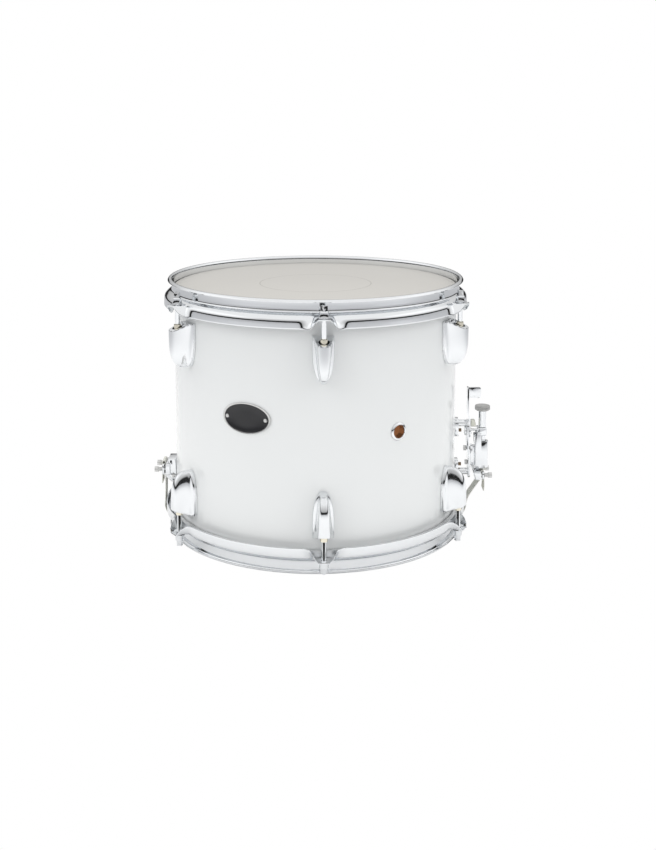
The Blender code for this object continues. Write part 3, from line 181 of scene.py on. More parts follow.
CRANK_ANGLE = math.radians(30.0)  # above the level line towards the front, at rest
CRANK_PIN = 1.4 * MM
SPINDLE_X = 214.1 * MM
BODY_X = 204.0 * MM
BODY_HALF_WIDTH = 10.0 * MM
BODY_BOTTOM = 69.2 * MM
BODY_INNER_TOP = 114.6 * MM
BLOCK_SWEEP = 111.5 * MM  # the walls stop here where the swung lever's block comes down
BARREL_RADIUS = 7.8 * MM
CARRIAGE_BOTTOM = 111.6 * MM
CARRIAGE_TOP = 121.3 * MM
CARRIAGE_TRAVEL = CRANK_RADIUS * (math.sin(CRANK_ANGLE) + math.cos(CRANK_ANGLE))
SLOT_SLACK = 0.8 * MM  # below the pin, whose drop runs ahead of an even one
BARREL_TOP = CARRIAGE_BOTTOM - CARRIAGE_TRAVEL - 0.8 * MM
TUBE_RADIUS = 4.6 * MM
TUBE_BORE = 3.0 * MM
KNOB_RADIUS = 9.6 * MM
KNOB_BOTTOM = 143.1 * MM
KNOB_TOP = 149.6 * MM
KNOB_POST = 4.95 * MM
KNURLS = 32
KNURL_DEPTH = 0.5 * MM
STEM_RADIUS = 2.3 * MM
CLAMP_HALF_WIDTH = 20.0 * MM
CLAMP_LOW = 57.2 * MM
CLAMP_HIGH = 66.9 * MM
CLAMP_SLOT_X = 211.3 * MM
STRAP_FOLD = 64.1 * MM  # where the strap starts its turn over the clamp plate
CLAMP_SCREW_Y = 15.0 * MM
CLAMP_SCREW_RADIUS = 3.4 * MM

# Snares and straps
STRAP_WIDTH = 19.5 * MM
STRAP_THICKNESS = 0.9 * MM
STRAND_COUNT = 12
STRAND_SPACING = 3.0 * MM
STRAND_RADIUS = 0.8 * MM
SNARE_HALF_LENGTH = 146.0 * MM
SNARE_HEIGHT = 7.6 * MM

# Butt, on -X
BUTT_FACE = 191.3 * MM
BUTT_HALF_WIDTH = 12.0 * MM
BUTT_SCREW_HEIGHT = 70.0 * MM
BUTT_PLATE_HALF_WIDTH = 18.0 * MM
BUTT_PLATE_LOW = 63.3 * MM
BUTT_PLATE_HIGH = 76.6 * MM
BUTT_SCREW_Y = 14.0 * MM

STAND = SHELL_DEPTH + RIM_STAND  # the origin's height above the plane that the drum stands on
UP, DOWN = 1, -1

pieces = bpy.data.collections.new("shapes")
helpers = bpy.data.collections.new("helpers")
looks = bpy.data.collections.new("marching_snare_drum")
for home in (pieces, helpers, looks):
    bpy.context.scene.collection.children.link(home)

record = frame["record"]
SLOT_OF = {part["node"]: part["material_slot"] for part in record["subparts"]}
BODY_OF = {node: body for body, nodes in record["behaviour"]["bodies"].items() for node in nodes}

# %% [markdown]
# ## Shader maths as expressions
#
# `Value` wraps a socket, so that a mask is written as a sum. Numbers alone stay in Python.

# %%


class Value:
    """A number that a shader works out, from the output socket of a node."""

    def __init__(self, tree, socket):
        self.tree, self.socket = tree, socket

    def made(self, operation, *values):
        node = self.tree.nodes.new("ShaderNodeMath")
        node.operation = operation
        for socket, value in zip(node.inputs, values):
            if isinstance(value, Value):
                self.tree.links.new(value.socket, socket)
            else:
                socket.default_value = value
        return Value(self.tree, node.outputs[0])

    def __add__(self, other):
        return self.made("ADD", self, other)

    def __radd__(self, other):
        return self.made("ADD", other, self)

    def __sub__(self, other):
        return self.made("SUBTRACT", self, other)

    def __rsub__(self, other):
        return self.made("SUBTRACT", other, self)

    def __mul__(self, other):
        return self.made("MULTIPLY", self, other)

    def __rmul__(self, other):
        return self.made("MULTIPLY", other, self)

    def __truediv__(self, other):
        return self.made("DIVIDE", self, other)

    def __gt__(self, other):
        return self.made("GREATER_THAN", self, other)

    def __lt__(self, other):
        return self.made("LESS_THAN", self, other)

    def __or__(self, other):
        return self.made("MAXIMUM", self, other)

    def length_with(self, other):
        """The square root of the sum of the two squares."""
        return self.made("SQRT", self * self + other * other)

    def clamped(self):
        """The value, held between 0 and 1."""
        held = self + 0.0
        held.socket.node.use_clamp = True
        return held

    def wave(self, length):
        """A sine of this wavelength, from 0 to 1."""
        return self.made("SINE", self * (math.tau / length)) * 0.5 + 0.5


class Finish:
    """A material with one Principled shader."""

    def __init__(self, name, color, roughness, metallic=0.0):
        self.material = bpy.data.materials.new(name)
        self.material.use_nodes = True
        self.tree = self.material.node_tree
        self.shader = self.tree.nodes["Principled BSDF"]
        self.put("Base Color", (*color, 1.0))
        self.put("Roughness", roughness)
        self.put("Metallic", metallic)

    def put(self, socket, value):
        if isinstance(value, Value):
            self.tree.links.new(value.socket, self.shader.inputs[socket])
        else:
            self.shader.inputs[socket].default_value = value
        return self

    def node(self, kind, settings=(), **values):
        """Any other node, with its settings set before its values or links."""
        made = self.tree.nodes.new(kind)
        for name, value in dict(settings).items():
            setattr(made, name, value)
        for name, value in values.items():
            socket = made.inputs[name.replace("_", " ")]
            if isinstance(value, Value):
                self.tree.links.new(value.socket, socket)
            else:
                socket.default_value = value
        return made

    def place(self):
        """X, Y and Z in the row frame."""
        source = self.node("ShaderNodeTexCoord").outputs["Object"]
        split = self.tree.nodes.new("ShaderNodeSeparateXYZ")
        self.tree.links.new(source, split.inputs[0])
        return [Value(self.tree, output) for output in split.outputs]

    def noise(self, scale, detail=2.0):
        source = self.node("ShaderNodeTexCoord").outputs["Object"]
        made = self.node("ShaderNodeTexNoise", Scale=scale, Detail=detail)
        self.tree.links.new(source, made.inputs["Vector"])
        return Value(self.tree, made.outputs["Fac"])

    def colors(self, mask, plain, other, socket="Base Color"):
        """One colour where the mask is 0 and another where it is 1."""
        mix = self.node("ShaderNodeMix", {"data_type": "RGBA"})
        self.tree.links.new(mask.socket, mix.inputs[0])
        mix.inputs[6].default_value = (*plain, 1.0)
        mix.inputs[7].default_value = (*other, 1.0)
        return self.put(socket, Value(self.tree, mix.outputs[2]))

    def bump(self, height, distance):
        made = self.node("ShaderNodeBump", Height=height, Distance=distance, Strength=1.0)
        return self.put("Normal", Value(self.tree, made.outputs["Normal"]))


# %% [markdown]
# ## Finishes
#
# One for each material slot of the part. The head has the thin dark ring of its coating, and the
# plate's border and rivets are bright metal in the same shader.

# %%
RING_RADIUS = 70.5 * MM
RING_HALF = 0.4 * MM
WRAP_WHITE = (0.80, 0.815, 0.815)
# The second wood colour is a painted glow, which the inner wood emits in place of the light through the heads.
WOOD, WOOD_PAINTED_GLOW = (0.36, 0.20, 0.11), (0.16, 0.075, 0.035)
HEAD_FILM = (0.52, 0.505, 0.475)


def white_wrap():
    """White outside, and wood inside, with a painted glow on the wood that stands in for the light through the
    heads, so that it shows at the vent.
    """
    finish = Finish("white_wrap", WRAP_WHITE, 0.16)
    x, y, _ = finish.place()
    inside = x.length_with(y) < SHELL_RADIUS - 1.2 * MM
    finish.colors(inside, WRAP_WHITE, WOOD)
    # Painted glow: the inner wood emits light of its own, standing in for the light through the heads.
    finish.colors(inside, (0.0, 0.0, 0.0), WOOD_PAINTED_GLOW, "Emission Color")
    return finish.put("Emission Strength", 1.0).put("Coat Weight", 0.35)


def coated_head():
    finish = Finish("coated_head", HEAD_FILM, 0.5)
    x, y, _ = finish.place()
    radius = x.length_with(y)
    ring = (radius > RING_RADIUS - RING_HALF) * (radius < RING_RADIUS + RING_HALF)
    finish.colors(ring * 0.6, HEAD_FILM, (0.16, 0.15, 0.13))
    return finish.bump(finish.noise(2500.0, 3.0), 0.00003)


def woven_tape():
    finish = Finish("woven_tape", (0.70, 0.70, 0.64), 0.8)
    x, y, z = finish.place()
    weave = y.wave(1.1 * MM) * (x + z).wave(1.3 * MM)
    finish.colors(weave, (0.70, 0.70, 0.64), (0.82, 0.82, 0.76))
    return finish.bump(weave, 0.00012)


def plate_black():
    finish = Finish("plate_black", (0.012, 0.012, 0.014), 0.22)
    x, y, z = finish.place()
    across = x * math.cos(BADGE_AZIMUTH) + y * math.sin(BADGE_AZIMUTH)
    high = z - (BADGE_HEIGHT - STAND)
    oval = (across / BADGE_HALF_WIDTH).length_with(high / BADGE_HALF_HEIGHT)
    rivets = (across - 0.8 * BADGE_HALF_WIDTH).length_with(high) < 2.2 * MM
    rivets = rivets | ((across + 0.8 * BADGE_HALF_WIDTH).length_with(high) < 2.2 * MM)
    bright = (oval > 0.925) | rivets
    finish.colors(bright, (0.012, 0.012, 0.014), (0.62, 0.62, 0.61))
    return finish.put("Metallic", bright).put("Roughness", 0.25)


def knob_metal():
    """Satin for the knob's head and polished for the post below it."""
    finish = Finish("knob_metal", (0.62, 0.62, 0.61), 0.3, 1.0)
    head = finish.place()[2] > KNOB_BOTTOM - STAND - 0.2 * MM
    return finish.colors(head, (0.83, 0.845, 0.86), (0.52, 0.52, 0.51)).put("Roughness", head * 0.35 + 0.07)


CHROME_FINISH = Finish("chrome_plate", (0.83, 0.845, 0.86), 0.07, 1.0)
BRASS_FINISH = Finish("nut_brass", (0.84, 0.79, 0.66), 0.22, 1.0)
KNOB_FINISH = knob_metal()
FINISHES = {
    "gloss_white": white_wrap(),
    "coated_film": coated_head(),
    "clear_film": Finish("clear_head", (0.80, 0.81, 0.80), 0.25),
    "aluminium": Finish("plain_aluminium", (0.72, 0.73, 0.74), 0.3, 1.0),
    "chrome": CHROME_FINISH,
    "black_plate": plate_black(),
    "dark_screw": Finish("dark_brass", (0.20, 0.14, 0.09), 0.35, 1.0),
    "satin_metal": Finish("satin_steel", (0.66, 0.66, 0.65), 0.3, 1.0),
    "cream_nylon": Finish("cream_nylon_block", (0.70, 0.70, 0.62), 0.42),
    "tape": woven_tape(),
    "snare_wire": Finish("wound_wire", (0.62, 0.62, 0.60), 0.28, 1.0),
}

# %% [markdown]
# ## Shapes
#
# The piece functions follow the real drum's making: turned rings, bent sheet, lofted castings,
# drilled and milled blocks. Each piece is named for the CAD node that it stands for.

# %%
def up(height):
    """Z of a height above the plane that the drum stands on."""
    return height - STAND


def rim_z(side, depth):
    """Z of a depth below the rim of the batter hoop (UP) or above that of the snare hoop (DOWN)."""
    return RIM_STAND - depth if side == UP else depth - STAND


def radial(azimuth):
    """Turns +Y to point inwards at this azimuth, which counts from the front towards +X."""
    return Matrix.Rotation(azimuth, 4, "Z")


def add_object(name, mesh, home=pieces):
    made = bpy.data.objects.new(name, mesh)
    made["node"] = name
    home.objects.link(made)
    if home is helpers:
        made.hide_render = True
        made.display_type = "WIRE"
    return made


def mesh_of(name, work):
    """A mesh from a closed bmesh, with its faces turned outwards."""
    bmesh.ops.recalc_face_normals(work, faces=work.faces)
    mesh = bpy.data.meshes.new(name)
    work.to_mesh(mesh)
    work.free()
    return mesh


def box_mesh(name, low, high, bevel=0.0):
    work = bmesh.new()
    low, high = Vector(low), Vector(high)
    bmesh.ops.create_cube(work, size=1.0)
    bmesh.ops.scale(work, vec=high - low, verts=work.verts)
    bmesh.ops.translate(work, vec=(low + high) / 2, verts=work.verts)
    if bevel:
        bmesh.ops.bevel(work, geom=work.edges[:], offset=bevel, segments=1, profile=0.5, affect="EDGES")
    return mesh_of(name, work)


def rod_mesh(name, start, end, radius, sides=12, end_radius=None):
    """A cylinder or a cone between two points. Anything rounder than a hexagon is truly round."""
    sides = ROUND_SIDES if sides > 6 else sides
    start, end = Vector(start), Vector(end)
    along = end - start
    work = bmesh.new()
    bmesh.ops.create_cone(
        work,
        cap_ends=True,
        segments=sides,
        radius1=radius,
        radius2=radius if end_radius is None else end_radius,
        depth=along.length,
    )
    turn = along.to_track_quat("Z", "Y").to_matrix().to_4x4()
    bmesh.ops.transform(work, matrix=Matrix.Translation((start + end) / 2) @ turn, verts=work.verts)
    return mesh_of(name, work)


def prism_mesh(name, outline, low_y, high_y, bevel=0.0):
    """An outline in X and Z, made solid from low_y to high_y."""
    work = bmesh.new()
    face = work.faces.new([work.verts.new((x, low_y, z)) for x, z in outline])
    grown = bmesh.ops.extrude_face_region(work, geom=[face])["geom"]
    moved = [v for v in grown if isinstance(v, bmesh.types.BMVert)]
    bmesh.ops.translate(work, vec=(0, high_y - low_y, 0), verts=moved)
    if bevel:
        bmesh.ops.bevel(work, geom=work.edges[:], offset=bevel, segments=1, profile=0.5, affect="EDGES")
    return mesh_of(name, work)


def plate_mesh(name, outline, low_x, high_x):
    """An outline in Y and Z, made solid from low_x to high_x."""
    work = bmesh.new()
    face = work.faces.new([work.verts.new((low_x, y, z)) for y, z in outline])
    grown = bmesh.ops.extrude_face_region(work, geom=[face])["geom"]
    moved = [v for v in grown if isinstance(v, bmesh.types.BMVert)]
    bmesh.ops.translate(work, vec=(high_x - low_x, 0, 0), verts=moved)
    return mesh_of(name, work)


def turned(name, profile, steps=RING_STEPS, closed=False, home=pieces):
    """A profile of (radius, z) points, which runs down its outer side, turned round Z."""
    mesh = bpy.data.meshes.new(name)
    edges = [(i, i + 1) for i in range(len(profile) - 1)]
    if closed:
        edges.append((len(profile) - 1, 0))
    mesh.from_pydata([(r, 0, z) for r, z in profile], edges, [])
    made = add_object(name, mesh, home)
    screw = made.modifiers.new("turn", "SCREW")
    screw.steps = screw.render_steps = steps
    screw.use_merge_vertices = True
    screw.merge_threshold = 0.00001
    screw.use_smooth_shade = True
    return made


def boolean(target, operation, other):
    cut = target.modifiers.new(operation.lower(), "BOOLEAN")
    cut.operation = operation
    cut.object = other
    return cut


def solid(name, base, joins=(), cuts=()):
    """An object from a base mesh, with other meshes joined to it and then cut from it."""
    made = add_object(name, base)
    for count, mesh in enumerate(joins):
        boolean(made, "UNION", add_object(f"{name}_join_{count}", mesh, helpers))
    for count, mesh in enumerate(cuts):
        boolean(made, "DIFFERENCE", add_object(f"{name}_cut_{count}", mesh, helpers))
    return made


def baked(made):
    """The object's mesh with its modifiers applied, for pieces that share it. The object goes."""
    bpy.context.view_layer.update()
    graph = bpy.context.evaluated_depsgraph_get()
    mesh = bpy.data.meshes.new_from_object(made.evaluated_get(graph))
    mesh.name = made.name
    bpy.data.objects.remove(made, do_unlink=True)
    return mesh


def rounded_outline(half_width, low, high, radius, segments=4):
    """A rectangle in (across, z) with rounded corners, counted round from its lower left corner."""
    corners = (
        (-half_width + radius, low + radius, 180),
        (half_width - radius, low + radius, 270),
        (half_width - radius, high - radius, 0),
        (-half_width + radius, high - radius, 90),
    )
    points = []
    for across, z, start in corners:
        for step in range(segments + 1):
            angle = math.radians(start + 90 * step / segments)
            points.append((across + radius * math.cos(angle), z + radius * math.sin(angle)))
    return points


def smooth(share):
    """0 to 1 with level ends."""
    share = min(max(share, 0.0), 1.0)
    return share * share * (3 - 2 * share)


def rod_azimuths():
    return [FIRST_AZIMUTH + math.tau * k / LUG_COUNT for k in range(LUG_COUNT)]


def on_circle(radius, azimuth, z):
    return (radius * math.sin(azimuth), -radius * math.cos(azimuth), z)


def make_shell():
    inner = SHELL_RADIUS - SHELL_WALL
    top = -FILM - GAP
    bottom = -SHELL_DEPTH + FILM + GAP
    crown = SHELL_RADIUS - EDGE_ROUND
    bevel_depth = SHELL_WALL - EDGE_ROUND
    profile = [
        (crown, top),
        (SHELL_RADIUS, top - EDGE_ROUND),
        (SHELL_RADIUS, bottom + EDGE_ROUND),
        (crown, bottom),
        (inner, bottom + bevel_depth),
        (inner, top - bevel_depth),
    ]
    shell = turned("shell", profile, closed=True)
    hole = VENT_BORE + VENT_TUBE + GAP
    start = on_circle(SHELL_RADIUS - 3 * SHELL_WALL, VENT_AZIMUTH, up(VENT_HEIGHT))
    end = on_circle(SHELL_RADIUS + SHELL_WALL, VENT_AZIMUTH, up(VENT_HEIGHT))
    cutters = [rod_mesh("vent_hole", start, end, hole, 16)]
    for height in mount_screw_heights():
        cutters.append(screw_hole("strainer_screw_hole", 1, height, MOUNT_SCREW_RADIUS + GAP))
    for height in butt_mount_heights():
        cutters.append(screw_hole("butt_screw_hole", -1, height, MOUNT_SCREW_RADIUS + GAP))
    for mesh in cutters:
        boolean(shell, "DIFFERENCE", add_object(mesh.name, mesh, helpers))


def mount_screw_heights():
    return (UPPER_POST - MOUNT_SCREW_OFFSET, LOWER_POST + MOUNT_SCREW_OFFSET)


def butt_mount_heights():
    return (78.5 * MM, 55.5 * MM)


def screw_hole(name, side, height, radius):
    return rod_mesh(
        name,
        (side * (SHELL_RADIUS - 3 * SHELL_WALL), 0, up(height)),
        (side * (SHELL_RADIUS + 2 * SHELL_WALL), 0, up(height)),
        radius,
        8,
    )


def make_head(side, name):
    """A film disc whose edge turns down over the shell, and the ring that carries it."""
    outer = SHELL_RADIUS + 2 * GAP + FILM + 0.1 * MM
    down = [
        (0.0, 0.0),
        (SHELL_RADIUS - 1.2 * MM, 0.0),
        (outer - 0.6 * MM, -0.9 * MM),
        (outer, -2.5 * MM),
        (outer, -COLLAR_DEPTH),
    ]
    back = [
        (outer - FILM, -COLLAR_DEPTH),
        (outer - FILM, -2.6 * MM),
        (outer - 0.9 * MM, -1.25 * MM),
        (SHELL_RADIUS - 1.3 * MM, -FILM),
        (0.0, -FILM),
    ]
    flesh_in = outer + GAP
    ring = [
        (flesh_in, -FLESH_TOP),
        (flesh_in + 0.55 * FLESH_WIDTH, -FLESH_TOP - 0.4 * MM),
        (flesh_in + FLESH_WIDTH, -FLESH_TOP - 2.6 * MM),
        (flesh_in + FLESH_WIDTH, -FLESH_BOTTOM),
        (flesh_in, -FLESH_BOTTOM),
    ]
    film_profile = down + back
    if side == DOWN:
        film_profile = [(r, -SHELL_DEPTH - z) for r, z in reversed(film_profile)]
        ring = [(r, -SHELL_DEPTH - z) for r, z in reversed(ring)]
    turned(f"{name}_head", film_profile)
    turned(f"{name}_flesh_hoop", ring, closed=True)


def skirt_angle(along):
    """How steeply the skirt hangs at a distance along the hoop from the nearest rod."""
    lobe = LOBE_ANGLE * smooth((along - EAR_FLAT) / (EAR_LOBE - EAR_FLAT))
    rest = (math.radians(90) - LOBE_ANGLE) * smooth((along - EAR_LOBE) / (EAR_END - EAR_LOBE))
    return lobe + rest


def hoop_section(along):
    """The sheet's mid-surface at a distance along the hoop from the nearest rod: (radius, depth)."""
    angle = skirt_angle(along)
    turn_up = 1 - angle / math.radians(90)
    length = SKIRT_DROP + (EAR_REACH + EAR_INSET - SKIRT_DROP) * turn_up
    bend = BEND_RADIUS - EAR_INSET * turn_up
    depth = BEND_DEPTH - EAR_RISE * turn_up
    lip = HOOP_WALL + LIP_OUT
    half = HOOP_SHEET / 2
    return [
        (lip, 2.3 * MM),
        (lip - 1.5 * MM, half),
        (lip - 3.7 * MM, half),
        (HOOP_WALL, 2.6 * MM),
        (HOOP_WALL, WALL_BOTTOM),
        (HOOP_WALL + 5.0 * MM - 1.1 * MM * turn_up, WALL_BOTTOM + 3.6 * MM - 0.2 * MM * turn_up),
        (bend, depth),
        (bend + length * math.cos(angle) + 0.5 * MM, depth + length * math.sin(angle)),
    ]


def hoop_azimuths():
    """Azimuths of the hoop's sections."""
    step = math.tau / LUG_COUNT
    return [k * step / HOOP_SECTIONS for k in range(LUG_COUNT * HOOP_SECTIONS)], step


def curve_through(points, between):
    """A smooth line through points, as tuples, with this many steps between each two."""
    found = []
    for k in range(len(points) - 1):
        before = Vector(points[max(k - 1, 0)])
        here, there = Vector(points[k]), Vector(points[k + 1])
        after = Vector(points[min(k + 2, len(points) - 1)])
        leave, arrive = (there - before) * 0.36, (after - here) * 0.36
        span = (there - here).length
        leave = leave.normalized() * min(leave.length, span * 0.9) if leave.length else leave
        arrive = arrive.normalized() * min(arrive.length, span * 0.9) if arrive.length else arrive
        for step in range(between):
            t = step / between
            found.append(
                here * (2 * t**3 - 3 * t**2 + 1)
                + leave * (t**3 - 2 * t**2 + t)
                + there * (3 * t**2 - 2 * t**3)
                + arrive * (t**3 - t**2)
            )
    return found + [Vector(points[-1])]


def thick_section(line, thickness):
    """The outline of sheet of this thickness about a line of 2D points, with rounded ends."""
    sides = []
    for k, here in enumerate(line):
        along = (line[min(k + 1, len(line) - 1)] - line[max(k - 1, 0)]).normalized()
        sides.append((here, along, Vector((-along.y, along.x)) * thickness / 2))
    left = [here + out for here, _, out in sides]
    right = [here - out for here, _, out in reversed(sides)]
    caps = []
    for (here, along, out), sign in ((sides[-1], 1), (sides[0], -1)):
        caps.append(
            [
                here + sign * (out * math.cos(a) + along * math.sin(a) * thickness / 2)
                for a in (math.radians(45), math.radians(90), math.radians(135))
            ]
        )
    return left + caps[0] + right + caps[1]


def make_hoop(side, name):
    """Bent sheet with a rolled lip, whose skirt turns up into an ear at each rod."""
    offsets, step = hoop_azimuths()
    work = bmesh.new()
    rings = []
    for offset in offsets:
        nearest = min(offset % step, step - offset % step) * BEND_RADIUS
        section = thick_section(curve_through(hoop_section(nearest), 5), HOOP_SHEET)
        rings.append(
            [
                work.verts.new(on_circle(r, FIRST_AZIMUTH + offset, rim_z(side, max(depth, 0.0))))
                for r, depth in section
            ]
        )
    for here, there in zip(rings, rings[1:] + rings[:1]):
        for k in range(len(here)):
            after = (k + 1) % len(here)
            work.faces.new((here[k], there[k], there[after], here[after]))
    hoop = add_object(name, mesh_of(name, work))
    for count, azimuth in enumerate(rod_azimuths()):
        hole = rod_mesh(
            f"{name}_rod_hole_{count}",
            on_circle(ROD_CIRCLE, azimuth, rim_z(side, KEY_BOTTOM)),
            on_circle(ROD_CIRCLE, azimuth, rim_z(side, 2.2 * BEND_DEPTH)),
            ROD_HOLE,
        )
        boolean(hoop, "DIFFERENCE", add_object(hole.name, hole, helpers))
    return hoop


def make_gates(hoop):
    """The two openings in the snare hoop's wall, where the straps pass out."""
    for sign in (1, -1):
        inner, outer = sorted((sign * (HOOP_WALL - 6 * MM), sign * (BEND_RADIUS - 1.0 * MM)))
        cutter = box_mesh(
            f"gate_{sign}",
            (inner, -GATE_HALF_WIDTH, up(GATE_LOW)),
            (outer, GATE_HALF_WIDTH, up(GATE_HIGH)),
        )
        boolean(hoop, "DIFFERENCE", add_object(cutter.name, cutter, helpers))


def lug_outline(share):
    """The right half of a lug's section at a share of its length: (across, height), edge to crest."""
    taper = max(0.0, (share - TAPER_START) / (1 - TAPER_START))
    width = LUG_HALF_WIDTH * math.sqrt(1 - taper**2.1)
    bow = max(0.0, (share - BOW_START) / (1 - BOW_START))
    crest = POD_HEIGHT * (1 - bow**2.2) ** 0.31
    pod = min(POD_HALF_WIDTH * (1 - 0.12 * share - 0.58 * share**3), 0.8 * width)
    flare = 3.2 * MM * max(0.0, 1 - share / TAPER_START) ** 1.5 + 0.9 * MM
    root = min(pod + flare, 0.93 * width)
    rise = crest - LUG_BASE
    return [
        (width, 0.0),
        (width, 0.7 * LUG_BASE),
        (0.94 * width, LUG_BASE),
        (root, LUG_BASE + 0.04 * rise),
        (0.55 * root + 0.45 * pod, LUG_BASE + 0.25 * rise),
        (0.15 * root + 0.85 * pod, LUG_BASE + 0.6 * rise),
        (0.9 * pod, LUG_BASE + 0.91 * rise),
        (0.5 * pod, crest),
    ]


def lug_mesh():
    """One lug as a loft from its slanted open top to its blunt tip, with the pocket for its nut and the bore for
    its rod.
    """
    work = bmesh.new()
    rings = []
    for share in LUG_SHARES:
        half = lug_outline(share)
        outline = half + [(-x, y) for x, y in reversed(half)] + [(0.0, 0.0)]
        ring = []
        for across, height in outline:
            slant = POD_SLANT * max(0.0, height - LUG_BASE) / (POD_HEIGHT - LUG_BASE)
            drop = share * LUG_LENGTH + slant * max(0.0, 1 - share / SLANT_END)
            reach = math.sqrt((SHELL_RADIUS + GAP + height) ** 2 - across**2)
            ring.append(work.verts.new((across, -reach, -drop)))
        rings.append(ring)
    for here, there in zip(rings, rings[1:]):
        for k in range(len(here)):
            after = (k + 1) % len(here)
            work.faces.new((here[k], here[after], there[after], there[k]))
    work.faces.new(rings[0])
    work.faces.new(rings[-1])
    sharp = work.edges.layers.float.new("crease_edge")
    edges_kept = [0, len(rings[0]) - 2, len(rings[0]) - 1]
    for k in range(len(rings[0])):
        work.edges.get((rings[0][k], rings[0][(k + 1) % len(rings[0])]))[sharp] = 0.85
    for here, there in zip(rings, rings[1:]):
        for k in edges_kept:
            work.edges.get((here[k], there[k]))[sharp] = 1.0
    for k in edges_kept[1:]:
        for ring in rings:
            work.edges.get((ring[k], ring[(k + 1) % len(ring)]))[sharp] = 1.0
    cage = add_object("lug", mesh_of("lug", work))
    rounding = cage.modifiers.new("rounding", "SUBSURF")
    rounding.levels = rounding.render_levels = 3
    body = solid(
        "lug",
        baked(cage),
        cuts=[
            rod_mesh(
                "pocket", (0, -ROD_CIRCLE, 3 * MM), (0, -ROD_CIRCLE, -POCKET_DEPTH), POCKET_RADIUS, 12
            )
        ],
    )
    bore_end = -(ROD_END - LUG_TOP + 3 * MM)
    bore = rod_mesh("bore", (0, -ROD_CIRCLE, 3 * MM), (0, -ROD_CIRCLE, bore_end), NUT_BORE, 12)
    boolean(body, "DIFFERENCE", add_object("lug_bore", bore, helpers))
    return baked(body)


def nut_mesh():
    """The swivel nut that stands on the pocket's floor, bored for its rod."""
    low, high = -POCKET_DEPTH + 0.05 * MM, -NUT_TOP
    shape = rod_mesh("nut", (0, -ROD_CIRCLE, high), (0, -ROD_CIRCLE, low), NUT_RADIUS)
    bore = rod_mesh("nut_bore", (0, -ROD_CIRCLE, high + 5 * MM), (0, -ROD_CIRCLE, low - 5 * MM), NUT_BORE)
    return baked(solid("lug_nut", shape, cuts=[bore]))


def make_lugs():
    """Twelve lugs, six to a hoop. The mesh's own place is on the drum's axis, with its top at Z 0."""
    meshes = {"lug": lug_mesh(), "lug_nut": nut_mesh()}
    for side, name in ((UP, "batter"), (DOWN, "snare")):
        for count, azimuth in enumerate(rod_azimuths()):
            turn = radial(azimuth)
            if side == DOWN:
                turn = turn @ Matrix.Rotation(math.pi, 4, "Y")
            for kind, mesh in meshes.items():
                made = add_object(f"{name}_{kind}_{count + 1}", mesh)
                made.matrix_world = Matrix.Translation((0, 0, rim_z(side, LUG_TOP))) @ turn


def tension_rod_mesh():
    """A rod with its square key head, collar and washer. Z 0 is the rim's height."""
    washer_top = -ROD_COLLAR_BOTTOM
    profile = [
        (0.0, -KEY_BOTTOM),
        (ROD_COLLAR_RADIUS - 0.6 * MM, -KEY_BOTTOM),
        (ROD_COLLAR_RADIUS, -KEY_BOTTOM - 0.8 * MM),
        (ROD_COLLAR_RADIUS, washer_top),
        (WASHER_RADIUS, washer_top),
        (WASHER_RADIUS, washer_top - WASHER_THICKNESS),
        (ROD_RADIUS, washer_top - WASHER_THICKNESS),
        (ROD_RADIUS, -ROD_END),
        (0.0, -ROD_END),
    ]
    rod = turned("tension_rod", profile, steps=ROUND_SIDES)
    half = KEY_SIZE / 2
    key = box_mesh("key", (-half, -half, -KEY_BOTTOM - 1 * MM), (half, half, -KEY_TOP))
    boolean(rod, "UNION", add_object("key", key, helpers))
    return baked(rod)


def make_rods():
    mesh = tension_rod_mesh()
    for side, name in ((UP, "batter"), (DOWN, "snare")):
        for count, azimuth in enumerate(rod_azimuths()):
            rod = add_object(f"{name}_tension_rod_{count + 1}", mesh)
            turn = radial(azimuth + math.radians(45))
            if side == DOWN:
                turn = turn @ Matrix.Rotation(math.pi, 4, "Y")
            place = Matrix.Translation(on_circle(ROD_CIRCLE, azimuth, rim_z(side, 0)))
            rod.matrix_world = place @ turn


def make_vent():
    """A flanged metal grommet through the shell, turned round its own axis."""
    reach = SHELL_WALL
    profile = [
        (VENT_BORE + 0.4 * MM, 1.9 * MM),
        (VENT_FLANGE - 1.0 * MM, 1.5 * MM),
        (VENT_FLANGE, 0.5 * MM),
        (VENT_BORE + VENT_TUBE, 0.4 * MM),
        (VENT_BORE + VENT_TUBE, -reach - 0.5 * MM),
        (VENT_FLANGE - 0.8 * MM, -reach - 0.7 * MM),
        (VENT_FLANGE - 0.8 * MM, -reach - 1.7 * MM),
        (VENT_BORE, -reach - 1.7 * MM),
        (VENT_BORE, 1.2 * MM),
    ]
    vent = turned("vent_grommet", profile, steps=2 * ROUND_SIDES, closed=True)
    outward = Vector(on_circle(1.0, VENT_AZIMUTH, 0.0))
    turn = outward.to_track_quat("Z", "Y").to_matrix().to_4x4()
    place = Matrix.Translation(on_circle(SHELL_RADIUS, VENT_AZIMUTH, up(VENT_HEIGHT)))
    vent.matrix_world = place @ turn


